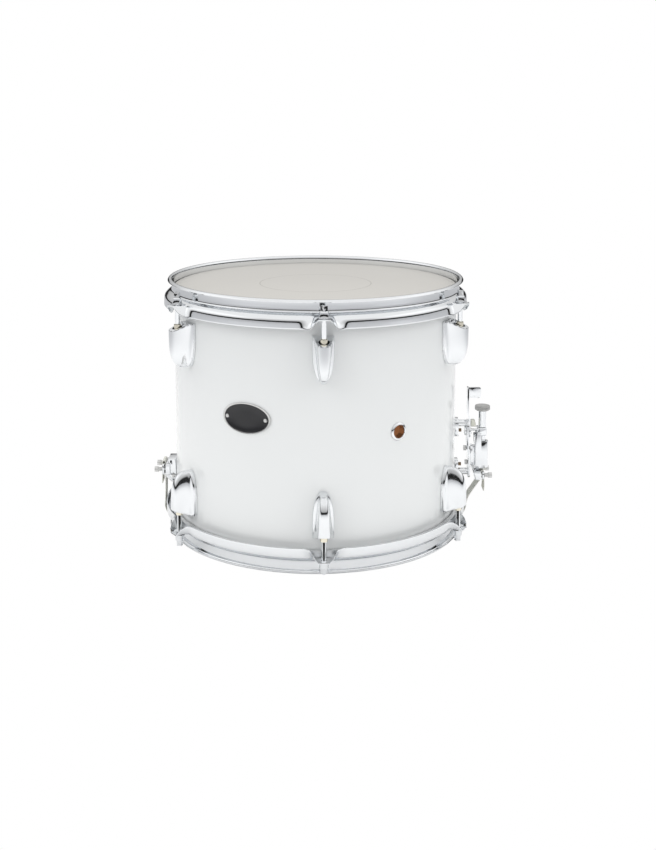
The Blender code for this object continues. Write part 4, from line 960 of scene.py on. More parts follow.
def make_badge():
    """A plain oval plate with a raised border and two rivets, bent round the shell."""
    work = bmesh.new()
    around = 2 * ROUND_SIDES
    levels = [(1.0, 0.0), (1.0, BADGE_THICKNESS), (0.93, BADGE_THICKNESS), (0.9, 0.72 * BADGE_THICKNESS)]
    levels += [(0.45, 0.72 * BADGE_THICKNESS)]
    rings = []
    for scale, height in levels:
        ring = []
        for k in range(around):
            angle = math.tau * k / around
            across = BADGE_HALF_WIDTH * scale * math.cos(angle)
            z = BADGE_HALF_HEIGHT * scale * math.sin(angle)
            reach = math.sqrt((SHELL_RADIUS + GAP + height) ** 2 - across**2)
            ring.append(work.verts.new((across, -reach, z)))
        rings.append(ring)
    for here, there in zip(rings, rings[1:]):
        for k in range(around):
            after = (k + 1) % around
            work.faces.new((here[k], here[after], there[after], there[k]))
    front = work.verts.new((0, -(SHELL_RADIUS + GAP + 0.72 * BADGE_THICKNESS), 0))
    back_ring = []
    for k in range(around):
        angle = math.tau * k / around
        across = 0.45 * BADGE_HALF_WIDTH * math.cos(angle)
        reach = math.sqrt((SHELL_RADIUS + GAP) ** 2 - across**2)
        back_ring.append(work.verts.new((across, -reach, 0.45 * BADGE_HALF_HEIGHT * math.sin(angle))))
    back = work.verts.new((0, -(SHELL_RADIUS + GAP), 0))
    for k in range(around):
        after = (k + 1) % around
        work.faces.new((rings[-1][k], rings[-1][after], front))
        work.faces.new((rings[0][after], rings[0][k], back_ring[k], back_ring[after]))
        work.faces.new((back_ring[after], back_ring[k], back))
    rivets = []
    for sign in (-1, 1):
        across = sign * 0.8 * BADGE_HALF_WIDTH
        reach = math.sqrt((SHELL_RADIUS + GAP) ** 2 - across**2)
        rivets.append(
            rod_mesh(
                f"rivet_{sign}", (across, -reach - 0.3 * MM, 0), (across, -reach - 2.0 * MM, 0), 2.0 * MM, 10
            )
        )
    badge = solid("badge_plate", mesh_of("badge_plate", work), joins=rivets)
    place = Matrix.Translation((0, 0, up(BADGE_HEIGHT))) @ radial(BADGE_AZIMUTH)
    badge.matrix_world = place
    for modifier in badge.modifiers:
        modifier.object.matrix_world = place


def make_strainer_base():
    """Two feet with posts, which carry an upright plate off the shell."""
    foot_x = SHELL_RADIUS + GAP
    post_x = foot_x + FOOT_THICKNESS
    plate_out = PLATE_X + PLATE_THICKNESS
    jog_high, jog_low = 97 * MM, 88 * MM
    top, bottom = 131.4 * MM, 56.0 * MM
    outline = [
        (PLATE_X, up(top)),
        (PLATE_X, up(jog_high)),
        (PLATE_X + PLATE_JOG, up(jog_low)),
        (PLATE_X + PLATE_JOG, up(bottom)),
        (plate_out + PLATE_JOG, up(bottom)),
        (plate_out + PLATE_JOG, up(jog_low)),
        (plate_out, up(jog_high)),
        (plate_out, up(top)),
    ]
    plate = prism_mesh("strainer_plate", outline, -PLATE_HALF_WIDTH, PLATE_HALF_WIDTH)
    joins, cuts = [], []
    for post, foot_low, foot_high, end in (
        (UPPER_POST, UPPER_POST - 16.5 * MM, UPPER_POST + 6.5 * MM, PLATE_X + 1.2 * MM),
        (LOWER_POST, LOWER_POST - 6.5 * MM, LOWER_POST + 16.5 * MM, PLATE_X + PLATE_JOG + 1.2 * MM),
    ):
        outline = rounded_outline(FOOT_HALF_WIDTH, up(foot_low), up(foot_high), 5 * MM, 3)
        joins.append(plate_mesh("foot", outline, foot_x, post_x))
        joins.append(rod_mesh("post", (post_x - 1 * MM, 0, up(post)), (end, 0, up(post)), POST_RADIUS))
    keep = rounded_outline(PLATE_HALF_WIDTH - 0.05 * MM, up(bottom - 1 * MM), up(top - 0.1 * MM), 8 * MM, 4)
    trim = plate_mesh("plate_trim", keep, foot_x - 2 * MM, plate_out + 4 * MM)
    for height in mount_screw_heights():
        cuts.append(screw_hole("foot_hole", 1, height, MOUNT_SCREW_RADIUS + GAP))
    cuts.append(
        rod_mesh(
            "pivot_hole",
            (PLATE_X - 2 * MM, 0, up(PIVOT_HEIGHT)),
            (plate_out + 2 * MM, 0, up(PIVOT_HEIGHT)),
            PIVOT_RADIUS + GAP,
        )
    )
    for height in body_screw_heights():
        cuts.append(
            rod_mesh(
                "screw_hole", (PLATE_X - 2 * MM, 0, up(height)), (plate_out + 4 * MM, 0, up(height)), 2.2 * MM, 8
            )
        )
    base = add_object("strainer_base", plate)
    boolean(base, "INTERSECT", add_object("plate_trim", trim, helpers))
    for count, mesh in enumerate(joins):
        boolean(base, "UNION", add_object(f"strainer_base_join_{count}", mesh, helpers))
    for count, mesh in enumerate(cuts):
        boolean(base, "DIFFERENCE", add_object(f"strainer_base_cut_{count}", mesh, helpers))


def body_screw_heights():
    return (93.7 * MM, 75.2 * MM)


def head_screw(name, start, end, radius, head, head_length, sides=12):
    """A screw whose head is at its start and whose shank runs to its end."""
    start, end = Vector(start), Vector(end)
    along = (end - start).normalized()
    top = rod_mesh(name, start - along * head_length, start, head, sides)
    shank = rod_mesh(name, start - along * 0.5 * MM, end, radius, 8)
    return solid(name, top, joins=[shank])


def make_strainer_screws():
    head_x = SHELL_RADIUS + GAP + FOOT_THICKNESS + GAP
    inside = SHELL_RADIUS - SHELL_WALL - 5 * MM
    for name, height in zip(("upper", "lower"), mount_screw_heights()):
        screw = head_screw(
            f"strainer_mount_screw_{name}",
            (head_x, 0, up(height)),
            (inside, 0, up(height)),
            MOUNT_SCREW_RADIUS,
            2.3 * MM,
            4.2 * MM,
            6,
        )
        nut = rod_mesh(
            "nut",
            (SHELL_RADIUS - SHELL_WALL - 1.2 * MM, 0, up(height)),
            (inside - 1 * MM, 0, up(height)),
            3.6 * MM,
            6,
        )
        boolean(screw, "UNION", add_object(f"mount_nut_{name}", nut, helpers))
    for count, (name, height) in enumerate(zip(("upper", "lower"), body_screw_heights())):
        face = PLATE_X - GAP + PLATE_JOG * count
        head_screw(
            f"body_screw_{name}",
            (face, 0, up(height)),
            (PLATE_X + PLATE_THICKNESS + PLATE_JOG + 3.4 * MM, 0, up(height)),
            1.8 * MM,
            3.3 * MM,
            3.4 * MM,
        )
    pivot = head_screw(
        "lever_pivot",
        (PLATE_X - GAP, 0, up(PIVOT_HEIGHT)),
        (lever_hub_x() + LEVER_SHEET + 1.6 * MM, 0, up(PIVOT_HEIGHT)),
        PIVOT_RADIUS,
        5.6 * MM,
        2.6 * MM,
        16,
    )
    washer = rod_mesh(
        "pivot_washer",
        (lever_hub_x() + LEVER_SHEET + GAP, 0, up(PIVOT_HEIGHT)),
        (lever_hub_x() + LEVER_SHEET + 1.5 * MM, 0, up(PIVOT_HEIGHT)),
        4.0 * MM,
    )
    boolean(pivot, "UNION", add_object("pivot_washer", washer, helpers))


def lever_hub_x():
    return PLATE_X + PLATE_THICKNESS + 0.4 * MM


def make_lever():
    """A flat lever, jogged towards the shell, with a thumb tab and an eccentric pin at its hub."""
    hub_x = lever_hub_x()
    arm_x = PLATE_X + 0.5 * MM
    outline = [
        (hub_x, up(PIVOT_HEIGHT - LEVER_HUB)),
        (hub_x, up(LEVER_JOG_LOW)),
        (arm_x, up(LEVER_JOG_HIGH)),
        (arm_x, up(LEVER_TOP)),
        (arm_x + LEVER_SHEET, up(LEVER_TOP)),
        (arm_x + LEVER_SHEET, up(LEVER_JOG_HIGH)),
        (hub_x + LEVER_SHEET, up(LEVER_JOG_LOW)),
        (hub_x + LEVER_SHEET, up(PIVOT_HEIGHT - LEVER_HUB)),
    ]
    strip = prism_mesh("lever_strip", outline, -LEVER_HALF_WIDTH, LEVER_HALF_WIDTH)
    hub = rod_mesh(
        "lever_hub",
        (hub_x + 0.02 * MM, 0, up(PIVOT_HEIGHT)),
        (hub_x + LEVER_SHEET - 0.02 * MM, 0, up(PIVOT_HEIGHT)),
        LEVER_HUB + 0.3 * MM,
        20,
    )
    tab_outline = rounded_outline((LEVER_TOP - 0.8 * MM - TAB_LOW) / 2, 0, TAB_REACH, 2.6 * MM, 3)
    work = bmesh.new()
    middle = up((LEVER_TOP - 0.8 * MM + TAB_LOW) / 2)
    back = LEVER_HALF_WIDTH - 1.5 * MM
    face = work.faces.new([work.verts.new((arm_x + 0.6 * MM + out, back, middle + z)) for z, out in tab_outline])
    grown = bmesh.ops.extrude_face_region(work, geom=[face])["geom"]
    moved = [v for v in grown if isinstance(v, bmesh.types.BMVert)]
    bmesh.ops.translate(work, vec=(0, 1.4 * MM, 0), verts=moved)
    tab = mesh_of("lever_tab", work)
    pin_y = -CRANK_RADIUS * math.cos(CRANK_ANGLE)
    pin_z = up(PIVOT_HEIGHT + CRANK_RADIUS * math.sin(CRANK_ANGLE))
    pin = rod_mesh(
        "lever_pin", (hub_x + 0.5 * MM, pin_y, pin_z), (SPINDLE_X - 4.2 * MM, pin_y, pin_z), CRANK_PIN, 10
    )
    hole = rod_mesh(
        "lever_hole",
        (hub_x - 2 * MM, 0, up(PIVOT_HEIGHT)),
        (hub_x + 5 * MM, 0, up(PIVOT_HEIGHT)),
        PIVOT_RADIUS + GAP,
    )
    lever = solid("strainer_lever", strip, joins=[hub, tab, pin], cuts=[hole])
    pivot = Vector((0, 0, up(PIVOT_HEIGHT)))
    shift_origin(lever, pivot)


def shift_origin(made, point):
    """Puts an object's origin on its joint, with its shape where it was."""
    made.data.transform(Matrix.Translation(-point))
    made.location = point


def make_lever_block():
    """The cream block on the lever's outer face."""
    low_x = lever_hub_x() + LEVER_SHEET + GAP
    outline = [
        (low_x, up(122.4 * MM)),
        (206.0 * MM, up(122.4 * MM)),
        (204.4 * MM, up(130.9 * MM)),
        (low_x + 0.4 * MM, up(130.9 * MM)),
    ]
    block = prism_mesh("lever_block", outline, -4.0 * MM, 4.0 * MM, 0.7 * MM)
    add_object("lever_block", block)


def make_strainer_body():
    """The housing: a square back and a round barrel, bored for the carriage and open at its top."""
    y = BODY_HALF_WIDTH
    back_out = SPINDLE_X - 2 * MM
    shape = box_mesh(
        "strainer_body", (BODY_X, -y, up(BODY_BOTTOM)), (back_out, y, up(BODY_INNER_TOP)), 0.8 * MM
    )
    barrel = rod_mesh(
        "barrel", (SPINDLE_X, 0, up(BODY_BOTTOM + 0.1 * MM)), (SPINDLE_X, 0, up(BARREL_TOP)), BARREL_RADIUS, 24
    )
    flange_x = PLATE_X + PLATE_THICKNESS + PLATE_JOG + GAP
    flange = plate_mesh(
        "flange",
        rounded_outline(7 * MM, up(70.6 * MM), up(99.0 * MM), 6.5 * MM, 3),
        flange_x,
        flange_x + 2.6 * MM,
    )
    web = box_mesh(
        "web", (flange_x + 1 * MM, -3.5 * MM, up(72 * MM)), (BODY_X + 2 * MM, 3.5 * MM, up(97 * MM))
    )
    bore = rod_mesh(
        "bore",
        (SPINDLE_X, 0, up(BODY_BOTTOM - 5 * MM)),
        (SPINDLE_X, 0, up(BODY_INNER_TOP + 5 * MM)),
        TUBE_RADIUS + 2 * GAP,
        16,
    )
    inside = BODY_HALF_WIDTH - 1.4 * MM
    pocket = box_mesh(
        "pocket",
        (BODY_X + 2.2 * MM, -inside, up(BARREL_TOP)),
        (SPINDLE_X + 10 * MM, inside, up(BODY_INNER_TOP + 5 * MM)),
    )
    pin_low = PIVOT_HEIGHT - CRANK_RADIUS - CRANK_PIN - 1.0 * MM
    window = box_mesh(
        "window",
        (BODY_X - 3 * MM, -inside, up(pin_low)),
        (SPINDLE_X, inside, up(BODY_INNER_TOP + 5 * MM)),
    )
    step = box_mesh(
        "step",
        (BODY_X - 3 * MM, -2 * y, up(BLOCK_SWEEP)),
        (BODY_X + 2.4 * MM, 2 * y, up(BODY_INNER_TOP + 5 * MM)),
    )
    holes = [step]
    for height in body_screw_heights():
        end_x = PLATE_X + PLATE_THICKNESS + PLATE_JOG + 4.0 * MM
        holes.append(
            rod_mesh("screw_hole", (flange_x - 2 * MM, 0, up(height)), (end_x, 0, up(height)), 2.2 * MM, 8)
        )
    solid("strainer_body", shape, joins=[barrel, flange, web], cuts=[bore, pocket, window] + holes)


def make_carriage():
    """The sliding block above the housing, with its guide tube and the slot for the lever's pin."""
    inside = BODY_HALF_WIDTH - 1.4 * MM - GAP
    low_x, high_x = 207.2 * MM, 219.2 * MM
    block = box_mesh(
        "carriage", (low_x, -inside, up(CARRIAGE_BOTTOM)), (high_x, inside, up(CARRIAGE_TOP)), 0.9 * MM
    )
    tube = rod_mesh(
        "tube", (SPINDLE_X, 0, up(76 * MM)), (SPINDLE_X, 0, up(CARRIAGE_BOTTOM + 2 * MM)), TUBE_RADIUS, 16
    )
    pin_z = PIVOT_HEIGHT + CRANK_RADIUS * math.sin(CRANK_ANGLE)
    slot_end = -CRANK_RADIUS * math.sin(CRANK_ANGLE) + CRANK_PIN + GAP
    slot = box_mesh(
        "slot",
        (low_x - 2 * MM, -inside - 2 * MM, up(pin_z - CRANK_PIN - SLOT_SLACK)),
        (SPINDLE_X - 3.8 * MM, slot_end, up(pin_z + CRANK_PIN + GAP)),
    )
    bore = rod_mesh(
        "bore", (SPINDLE_X, 0, up(70 * MM)), (SPINDLE_X, 0, up(CARRIAGE_TOP + 2 * MM)), TUBE_BORE, 12
    )
    solid("carriage", block, joins=[tube], cuts=[slot, bore])


def make_knob():
    """The tension knob: a knurled dished head on a post, with a threaded bore for the stem."""
    bottom = up(CARRIAGE_TOP + GAP)
    profile = [
        (0.0, up(KNOB_TOP - 1.2 * MM)),
        (6.4 * MM, up(KNOB_TOP - 1.0 * MM)),
        (8.2 * MM, up(KNOB_TOP)),
        (9.0 * MM, up(KNOB_TOP)),
        (KNOB_RADIUS, up(KNOB_TOP - 0.7 * MM)),
        (KNOB_RADIUS, up(KNOB_BOTTOM + 1.4 * MM)),
        (7.6 * MM, up(KNOB_BOTTOM)),
        (KNOB_POST, up(KNOB_BOTTOM - 0.1 * MM)),
        (KNOB_POST, bottom),
        (TUBE_BORE - GAP - 0.05 * MM, bottom),
        (TUBE_BORE - GAP - 0.05 * MM, up(104 * MM)),
        (0.0, up(104 * MM)),
    ]
    mesh = baked(turned("tension_knob", profile, steps=KNURLS * 8))
    for vertex in mesh.vertices:
        x, y, _ = vertex.co
        if math.hypot(x, y) > KNOB_RADIUS - 0.9 * MM:
            cut = 1 - KNURL_DEPTH * (0.5 + 0.5 * math.cos(KNURLS * math.atan2(y, x))) / KNOB_RADIUS
            vertex.co.x, vertex.co.y = x * cut, y * cut
    knob = add_object("tension_knob", mesh)
    knob.location = (SPINDLE_X, 0, 0)


def make_clamp():
    """The clamp block under the housing, which the stem lifts, with its plate and two screws."""
    y = CLAMP_HALF_WIDTH
    outline = [
        (201.6 * MM, up(CLAMP_HIGH)),
        (203.6 * MM, up(CLAMP_LOW)),
        (CLAMP_SLOT_X, up(CLAMP_LOW)),
        (CLAMP_SLOT_X, up(CLAMP_HIGH)),
    ]
    block = prism_mesh("strap_clamp", outline, -y, y, 0.7 * MM)
    bridge_outline = [
        (CLAMP_SLOT_X - 3.4 * MM, up(CLAMP_HIGH - 2 * MM)),
        (CLAMP_SLOT_X - 0.2 * MM, up(CLAMP_HIGH - 2 * MM)),
        (CLAMP_SLOT_X - 0.2 * MM, up(CLAMP_HIGH - 0.1 * MM)),
        (SPINDLE_X + 2.6 * MM, up(CLAMP_HIGH - 0.1 * MM)),
        (SPINDLE_X + 2.6 * MM, up(CLAMP_HIGH + 1.6 * MM)),
        (CLAMP_SLOT_X - 3.4 * MM, up(CLAMP_HIGH + 1.6 * MM)),
    ]
    bridge = prism_mesh("bridge", bridge_outline, -STEM_RADIUS * 1.6, STEM_RADIUS * 1.6)
    stem = rod_mesh(
        "stem", (SPINDLE_X, 0, up(CLAMP_HIGH + 0.6 * MM)), (SPINDLE_X, 0, up(100 * MM)), STEM_RADIUS, 10
    )
    holes = [
        rod_mesh(
            "clamp_hole",
            (CLAMP_SLOT_X + 4 * MM, sign * CLAMP_SCREW_Y, up(clamp_screw_height())),
            (CLAMP_SLOT_X - 7 * MM, sign * CLAMP_SCREW_Y, up(clamp_screw_height())),
            2.0 * MM,
            8,
        )
        for sign in (-1, 1)
    ]
    solid("strap_clamp", block, joins=[bridge, stem], cuts=holes)
    clamp_plate_and_screws(
        "strap",
        1,
        CLAMP_SLOT_X + 1.5 * MM,
        18 * MM,
        (56.9 * MM, 66.4 * MM),
        CLAMP_SCREW_Y,
        clamp_screw_height(),
        notch_z=up(STRAP_FOLD + 0.4 * MM),
    )


def clamp_screw_height():
    return 62.4 * MM


def clamp_plate_and_screws(
    name, sign, plate_x, half_width, heights, screw_y, screw_height, notch_z=None
):
    """A clamp plate at plate_x on this side, with its two screws and a notch for the strap's fold."""
    thickness = 2.3 * MM
    faces = sorted((sign * plate_x, sign * (plate_x + thickness)))
    outline = rounded_outline(half_width, up(heights[0]), up(heights[1]), 2 * MM, 2)
    holes = []
    for side in (-1, 1):
        holes.append(
            rod_mesh(
                "plate_hole",
                (sign * (plate_x - 3 * MM), side * screw_y, up(screw_height)),
                (sign * (plate_x + 6 * MM), side * screw_y, up(screw_height)),
                2.0 * MM,
                8,
            )
        )
    if notch_z is not None:
        side = STRAP_WIDTH / 2 + 1.2 * MM
        low = (faces[0] - 3 * MM, -side, notch_z)
        holes.append(box_mesh("plate_notch", low, (faces[1] + 3 * MM, side, notch_z + 20 * MM)))
    solid(f"{name}_clamp_plate", plate_mesh("plate", outline, *faces), cuts=holes)
    for side, label in ((-1, "front"), (1, "rear")):
        collar_x = plate_x + thickness + GAP
        screw = head_screw(
            f"{name}_clamp_screw_{label}",
            (sign * (collar_x + 4.6 * MM), side * screw_y, up(screw_height)),
            (sign * (plate_x - 6.2 * MM), side * screw_y, up(screw_height)),
            1.6 * MM,
            CLAMP_SCREW_RADIUS,
            5.2 * MM,
        )
        collar = rod_mesh(
            "collar",
            (sign * collar_x, side * screw_y, up(screw_height)),
            (sign * (collar_x + 4.8 * MM), side * screw_y, up(screw_height)),
            2.5 * MM,
            10,
        )
        boolean(screw, "UNION", add_object(f"{name}_collar_{label}", collar, helpers))


def make_butt():
    """The fixed anchor on the far side of the drum, with its clamp plate and screws."""
    foot = SHELL_RADIUS + GAP
    outline = [
        (-foot, up(82.6 * MM)),
        (-188.3 * MM, up(82.6 * MM)),
        (-188.3 * MM, up(77.6 * MM)),
        (-BUTT_FACE, up(77.6 * MM)),
        (-BUTT_FACE, up(59.0 * MM)),
        (-181.5 * MM, up(51.0 * MM)),
        (-foot, up(51.0 * MM)),
    ]
    block = prism_mesh("butt_bracket", outline, -BUTT_HALF_WIDTH, BUTT_HALF_WIDTH, 0.6 * MM)
    ears = box_mesh(
        "ears",
        (-BUTT_FACE + 0.1 * MM, -BUTT_PLATE_HALF_WIDTH, up(BUTT_PLATE_LOW)),
        (-BUTT_FACE + 6 * MM, BUTT_PLATE_HALF_WIDTH, up(BUTT_PLATE_HIGH)),
        0.6 * MM,
    )
    cuts = [
        rod_mesh("eye", (-184.6 * MM, -20 * MM, up(79.6 * MM)), (-184.6 * MM, 20 * MM, up(79.6 * MM)), 1.4 * MM, 10)
    ]
    for side in (-1, 1):
        cuts.append(
            rod_mesh(
                "ear_hole",
                (-BUTT_FACE - 3 * MM, side * BUTT_SCREW_Y, up(BUTT_SCREW_HEIGHT)),
                (-BUTT_FACE + 9 * MM, side * BUTT_SCREW_Y, up(BUTT_SCREW_HEIGHT)),
                2.0 * MM,
                8,
            )
        )
    for height in butt_mount_heights():
        cuts.append(
            rod_mesh(
                "mount_hole",
                (-foot + 5 * MM, 0, up(height)),
                (-foot - 4.2 * MM, 0, up(height)),
                MOUNT_SCREW_RADIUS + GAP,
                8,
            )
        )
    side_screw = (-foot - 3.4 * MM, -BUTT_HALF_WIDTH - GAP, up(61.0 * MM))
    side_end = (-foot - 3.4 * MM, -BUTT_HALF_WIDTH + 7 * MM, up(61.0 * MM))
    side_hole_start = (-foot - 3.4 * MM, -BUTT_HALF_WIDTH - 3 * MM, up(61.0 * MM))
    side_hole_end = (-foot - 3.4 * MM, -BUTT_HALF_WIDTH + 7.5 * MM, up(61.0 * MM))
    cuts.append(rod_mesh("side_hole", side_hole_start, side_hole_end, 1.7 * MM, 8))
    head_screw("butt_side_screw", side_screw, side_end, 1.3 * MM, 2.4 * MM, 1.8 * MM)
    solid("butt_bracket", block, joins=[ears], cuts=cuts)
    inside = SHELL_RADIUS - SHELL_WALL
    for name, height in zip(("upper", "lower"), butt_mount_heights()):
        head_screw(
            f"butt_mount_screw_{name}",
            (-inside + 1.0 * MM, 0, up(height)),
            (-foot - 3.9 * MM, 0, up(height)),
            MOUNT_SCREW_RADIUS,
            3.8 * MM,
            2.4 * MM,
        )
    clamp_plate_and_screws(
        "butt",
        -1,
        BUTT_FACE + 1.5 * MM,
        BUTT_PLATE_HALF_WIDTH,
        (BUTT_PLATE_LOW, BUTT_PLATE_HIGH),
        BUTT_SCREW_Y,
        BUTT_SCREW_HEIGHT,
    )


def strap_mesh(name, route):
    """A flat strap along a route of (x, height) points in the drum's X and Z plane."""
    points = [Vector((p.x, 0, up(p.y))) for p in curve_through(route, 5)]
    work = bmesh.new()
    half = STRAP_WIDTH / 2
    rings = []
    for k, here in enumerate(points):
        before = points[max(k - 1, 0)]
        after = points[min(k + 1, len(points) - 1)]
        arrive = (here - before).normalized() if k else (after - here).normalized()
        leave = (after - here).normalized() if k < len(points) - 1 else arrive
        along = (arrive + leave).normalized()
        stretch = min(1.5, 1 / max(0.3, along.dot(leave)))
        across = Vector((-along.z, 0, along.x)) * STRAP_THICKNESS / 2 * stretch
        rings.append(
            [
                work.verts.new(here + across + Vector((0, -half, 0))),
                work.verts.new(here + across + Vector((0, half, 0))),
                work.verts.new(here - across + Vector((0, half, 0))),
                work.verts.new(here - across + Vector((0, -half, 0))),
            ]
        )
    for here, there in zip(rings, rings[1:]):
        for k in range(4):
            work.faces.new((here[k], here[(k + 1) % 4], there[(k + 1) % 4], there[k]))
    work.faces.new(rings[0])
    work.faces.new(rings[-1])
    return mesh_of(name, work)


def clamp_loop(sign, slot_x, plate_x, low, high):
    """The strap's turn over its clamp plate, from the slot to the outside of the plate."""
    middle = (slot_x + plate_x) / 2
    reach = (plate_x - slot_x) / 2
    points = [(sign * slot_x, low)]
    for step in range(5):
        angle = math.radians(180 - 45 * step)
        points.append((sign * (middle + reach * math.cos(angle)), high + reach * 0.9 * math.sin(angle)))
    return points


def make_straps():
    skirt = BEND_RADIUS + HOOP_SHEET + 1.2 * MM
    start = SNARE_HALF_LENGTH + 6.5 * MM
    under = SNARE_HEIGHT - 0.2 * MM
    common = [(start, under), (HOOP_WALL, under), (HOOP_WALL + 5.2 * MM, under + 1.3 * MM)]
    common += [(skirt - 1.4 * MM, 14.0 * MM), (skirt + 0.6 * MM, 20.0 * MM)]
    slot = CLAMP_SLOT_X + 0.75 * MM
    outside = CLAMP_SLOT_X + 1.5 * MM + 2.3 * MM + GAP + 0.6 * MM
    strainer = common + [(skirt + 1.6 * MM, 27.0 * MM), (196.6 * MM, 33.8 * MM), (207.6 * MM, 50.2 * MM)]
    strainer += clamp_loop(1, slot, outside, 57.0 * MM, STRAP_FOLD)
    strainer += [(outside, 56.0 * MM), (outside + 0.3 * MM, 46.0 * MM), (outside - 0.3 * MM, 40.0 * MM)]
    add_object("strainer_strap", strap_mesh("strainer_strap", strainer))
    slot = BUTT_FACE + 0.75 * MM
    outside = BUTT_FACE + 1.5 * MM + 2.3 * MM + GAP + 0.6 * MM
    butt = [(-x, h) for x, h in common] + [(-skirt - 0.3 * MM, 27.0 * MM), (-slot - 0.1 * MM, 40.0 * MM)]
    butt += clamp_loop(-1, slot, outside, 60.0 * MM, 77.4 * MM)
    butt += [(-outside, 62.0 * MM), (-outside - 0.2 * MM, 50.0 * MM)]
    add_object("butt_strap", strap_mesh("butt_strap", butt))


def make_snares():
    """Straight strands between two end plates, held just under the snare head."""
    half = SNARE_HALF_LENGTH
    plates = []
    for sign in (-1, 1):
        low, high = sorted((sign * half, sign * (half + 6 * MM)))
        plates.append(
            box_mesh(
                "snare_end",
                (low, -STRAND_COUNT * STRAND_SPACING / 2 - 1 * MM, up(SNARE_HEIGHT - 1.1 * MM)),
                (high, STRAND_COUNT * STRAND_SPACING / 2 + 1 * MM, up(SNARE_HEIGHT + 1.1 * MM)),
            )
        )
    joins = [plates[1]]
    for k in range(STRAND_COUNT):
        y = (k - (STRAND_COUNT - 1) / 2) * STRAND_SPACING
        joins.append(
            rod_mesh(
                "strand",
                (-half - 1 * MM, y, up(SNARE_HEIGHT)),
                (half + 1 * MM, y, up(SNARE_HEIGHT)),
                STRAND_RADIUS,
                6,
            )
        )
    solid("snare_wires", plates[0], joins=joins)


make_shell()
make_head(UP, "batter")
make_head(DOWN, "snare")
make_hoop(UP, "batter_hoop")
make_gates(make_hoop(DOWN, "snare_hoop"))
make_lugs()
make_rods()
make_vent()
make_badge()
make_strainer_base()
make_strainer_screws()
make_lever()
make_lever_block()
make_strainer_body()
make_carriage()
make_knob()
make_clamp()
make_butt()
make_straps()
make_snares()
bpy.context.view_layer.update()

# %% [markdown]
# ## From shapes to pieces
#
# Every shape is applied, put in place and given its edge rounding, its body and its finish, except the strap
# between the snares and the strainer, which stays in place on no body.

# %%
EDGE_ROUNDING = {
    "strainer_base": 0.35,
    "strainer_body": 0.35,
    "strainer_lever": 0.3,
    "lever_block": 0.25,
    "lever_pivot": 0.4,
    "carriage": 0.25,
    "strap_clamp": 0.3,
    "strap_clamp_plate": 0.3,
    "butt_bracket": 0.4,
    "butt_clamp_plate": 0.3,
    "strap_clamp_screw_front": 0.4,
    "strap_clamp_screw_rear": 0.4,
    "butt_clamp_screw_front": 0.4,
    "butt_clamp_screw_rear": 0.4,
    "butt_side_screw": 0.3,
    "body_screw_upper": 0.4,
    "body_screw_lower": 0.4,
    "tension_rod": 0.3,
}
SMOOTH_ANGLE = math.radians(34)


def piece_of(made):
    """The finished piece: applied, in place, at the origin, smooth where its surface is."""
    node = made["node"]
    width = EDGE_ROUNDING.get(node.rstrip("_123456").replace("batter_", "").replace("snare_", ""))
    if width:
        edge = made.modifiers.new("edge", "BEVEL")
        edge.width, edge.segments, edge.limit_method = width * MM, 2, "ANGLE"
        edge.angle_limit = math.radians(40)
    bpy.context.view_layer.update()
    graph = bpy.context.evaluated_depsgraph_get()
    mesh = bpy.data.meshes.new_from_object(made.evaluated_get(graph))
    mesh.transform(made.matrix_world)
    mesh.name = f"{node}_look"
    mesh.shade_smooth()
    mesh.set_sharp_from_angle(angle=SMOOTH_ANGLE)
    mesh.materials.clear()
    slot = SLOT_OF.get(node, "satin_metal")
    finish = FINISHES[slot] if node in SLOT_OF else BRASS_FINISH
    mesh.materials.append((KNOB_FINISH if node == "tension_knob" else finish).material)
    look = bpy.data.objects.new(f"{node}_look", mesh)
    looks.objects.link(look)
    if node == "strainer_strap":
        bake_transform(look)
    else:
        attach(look, BODY_OF.get(node, "drum"))
    if node in SLOT_OF:
        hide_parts(node)
    return look


made_pieces = [piece_of(made) for made in list(pieces.objects)]
for home in (pieces, helpers):
    for used in list(home.objects):
        bpy.data.objects.remove(used, do_unlink=True)
    bpy.data.collections.remove(home)
triangles = sum(len(p.vertices) - 2 for o in made_pieces for p in o.data.polygons)
print(len(made_pieces), "pieces,", triangles, "triangles")

# %% [markdown]
# ## Floor, light and camera
#
# The photograph has a plain white surround and soft light from above and both sides. The camera
# sees white, while the chrome sees a grey room, brighter overhead and at the sides, with a dark
# band along its horizon that draws the black lines in the bent sheet.

# %%
SKY_LOW, SKY_TOP = 0.50, 0.98
SIDE_BRIGHT = 0.30
HORIZON_DARK = 0.96
# The floor's far colour is painted shade, standing in for the light falling off away from the drum.
FLOOR_NEAR, FLOOR_FAR_SHADE = (0.95, 0.95, 0.95), (0.55, 0.555, 0.57)
SHADE_START, SHADE_LENGTH = 0.5, 1.0


def make_floor():
    work = bmesh.new()
    bmesh.ops.create_grid(work, x_segments=1, y_segments=1, size=6.0)
    floor = bpy.data.objects.new("floor", mesh_of("floor", work))
    bpy.context.scene.collection.objects.link(floor)
    floor.location = (0, 0, up(0) - 0.0003)
    finish = Finish("floor_white", FLOOR_NEAR, 0.9)
    x, y, _ = finish.place()
    # Painted shade: the floor gets darker away from the drum, and the chrome shows this in its reflections; the
    # camera sees plain white.
    far = ((x.length_with(y) - SHADE_START) * (1 / SHADE_LENGTH)).clamped()
    finish.colors(far, FLOOR_NEAR, FLOOR_FAR_SHADE)
    tree = finish.tree
    white = finish.node("ShaderNodeEmission", Color=(1, 1, 1, 1), Strength=1.0)
    rays = finish.node("ShaderNodeLightPath")
    mix = finish.node("ShaderNodeMixShader")
    tree.links.new(rays.outputs["Is Camera Ray"], mix.inputs[0])
    tree.links.new(finish.shader.outputs[0], mix.inputs[1])
    tree.links.new(white.outputs[0], mix.inputs[2])
    tree.links.new(mix.outputs[0], tree.nodes["Material Output"].inputs["Surface"])
    floor.data.materials.append(finish.material)


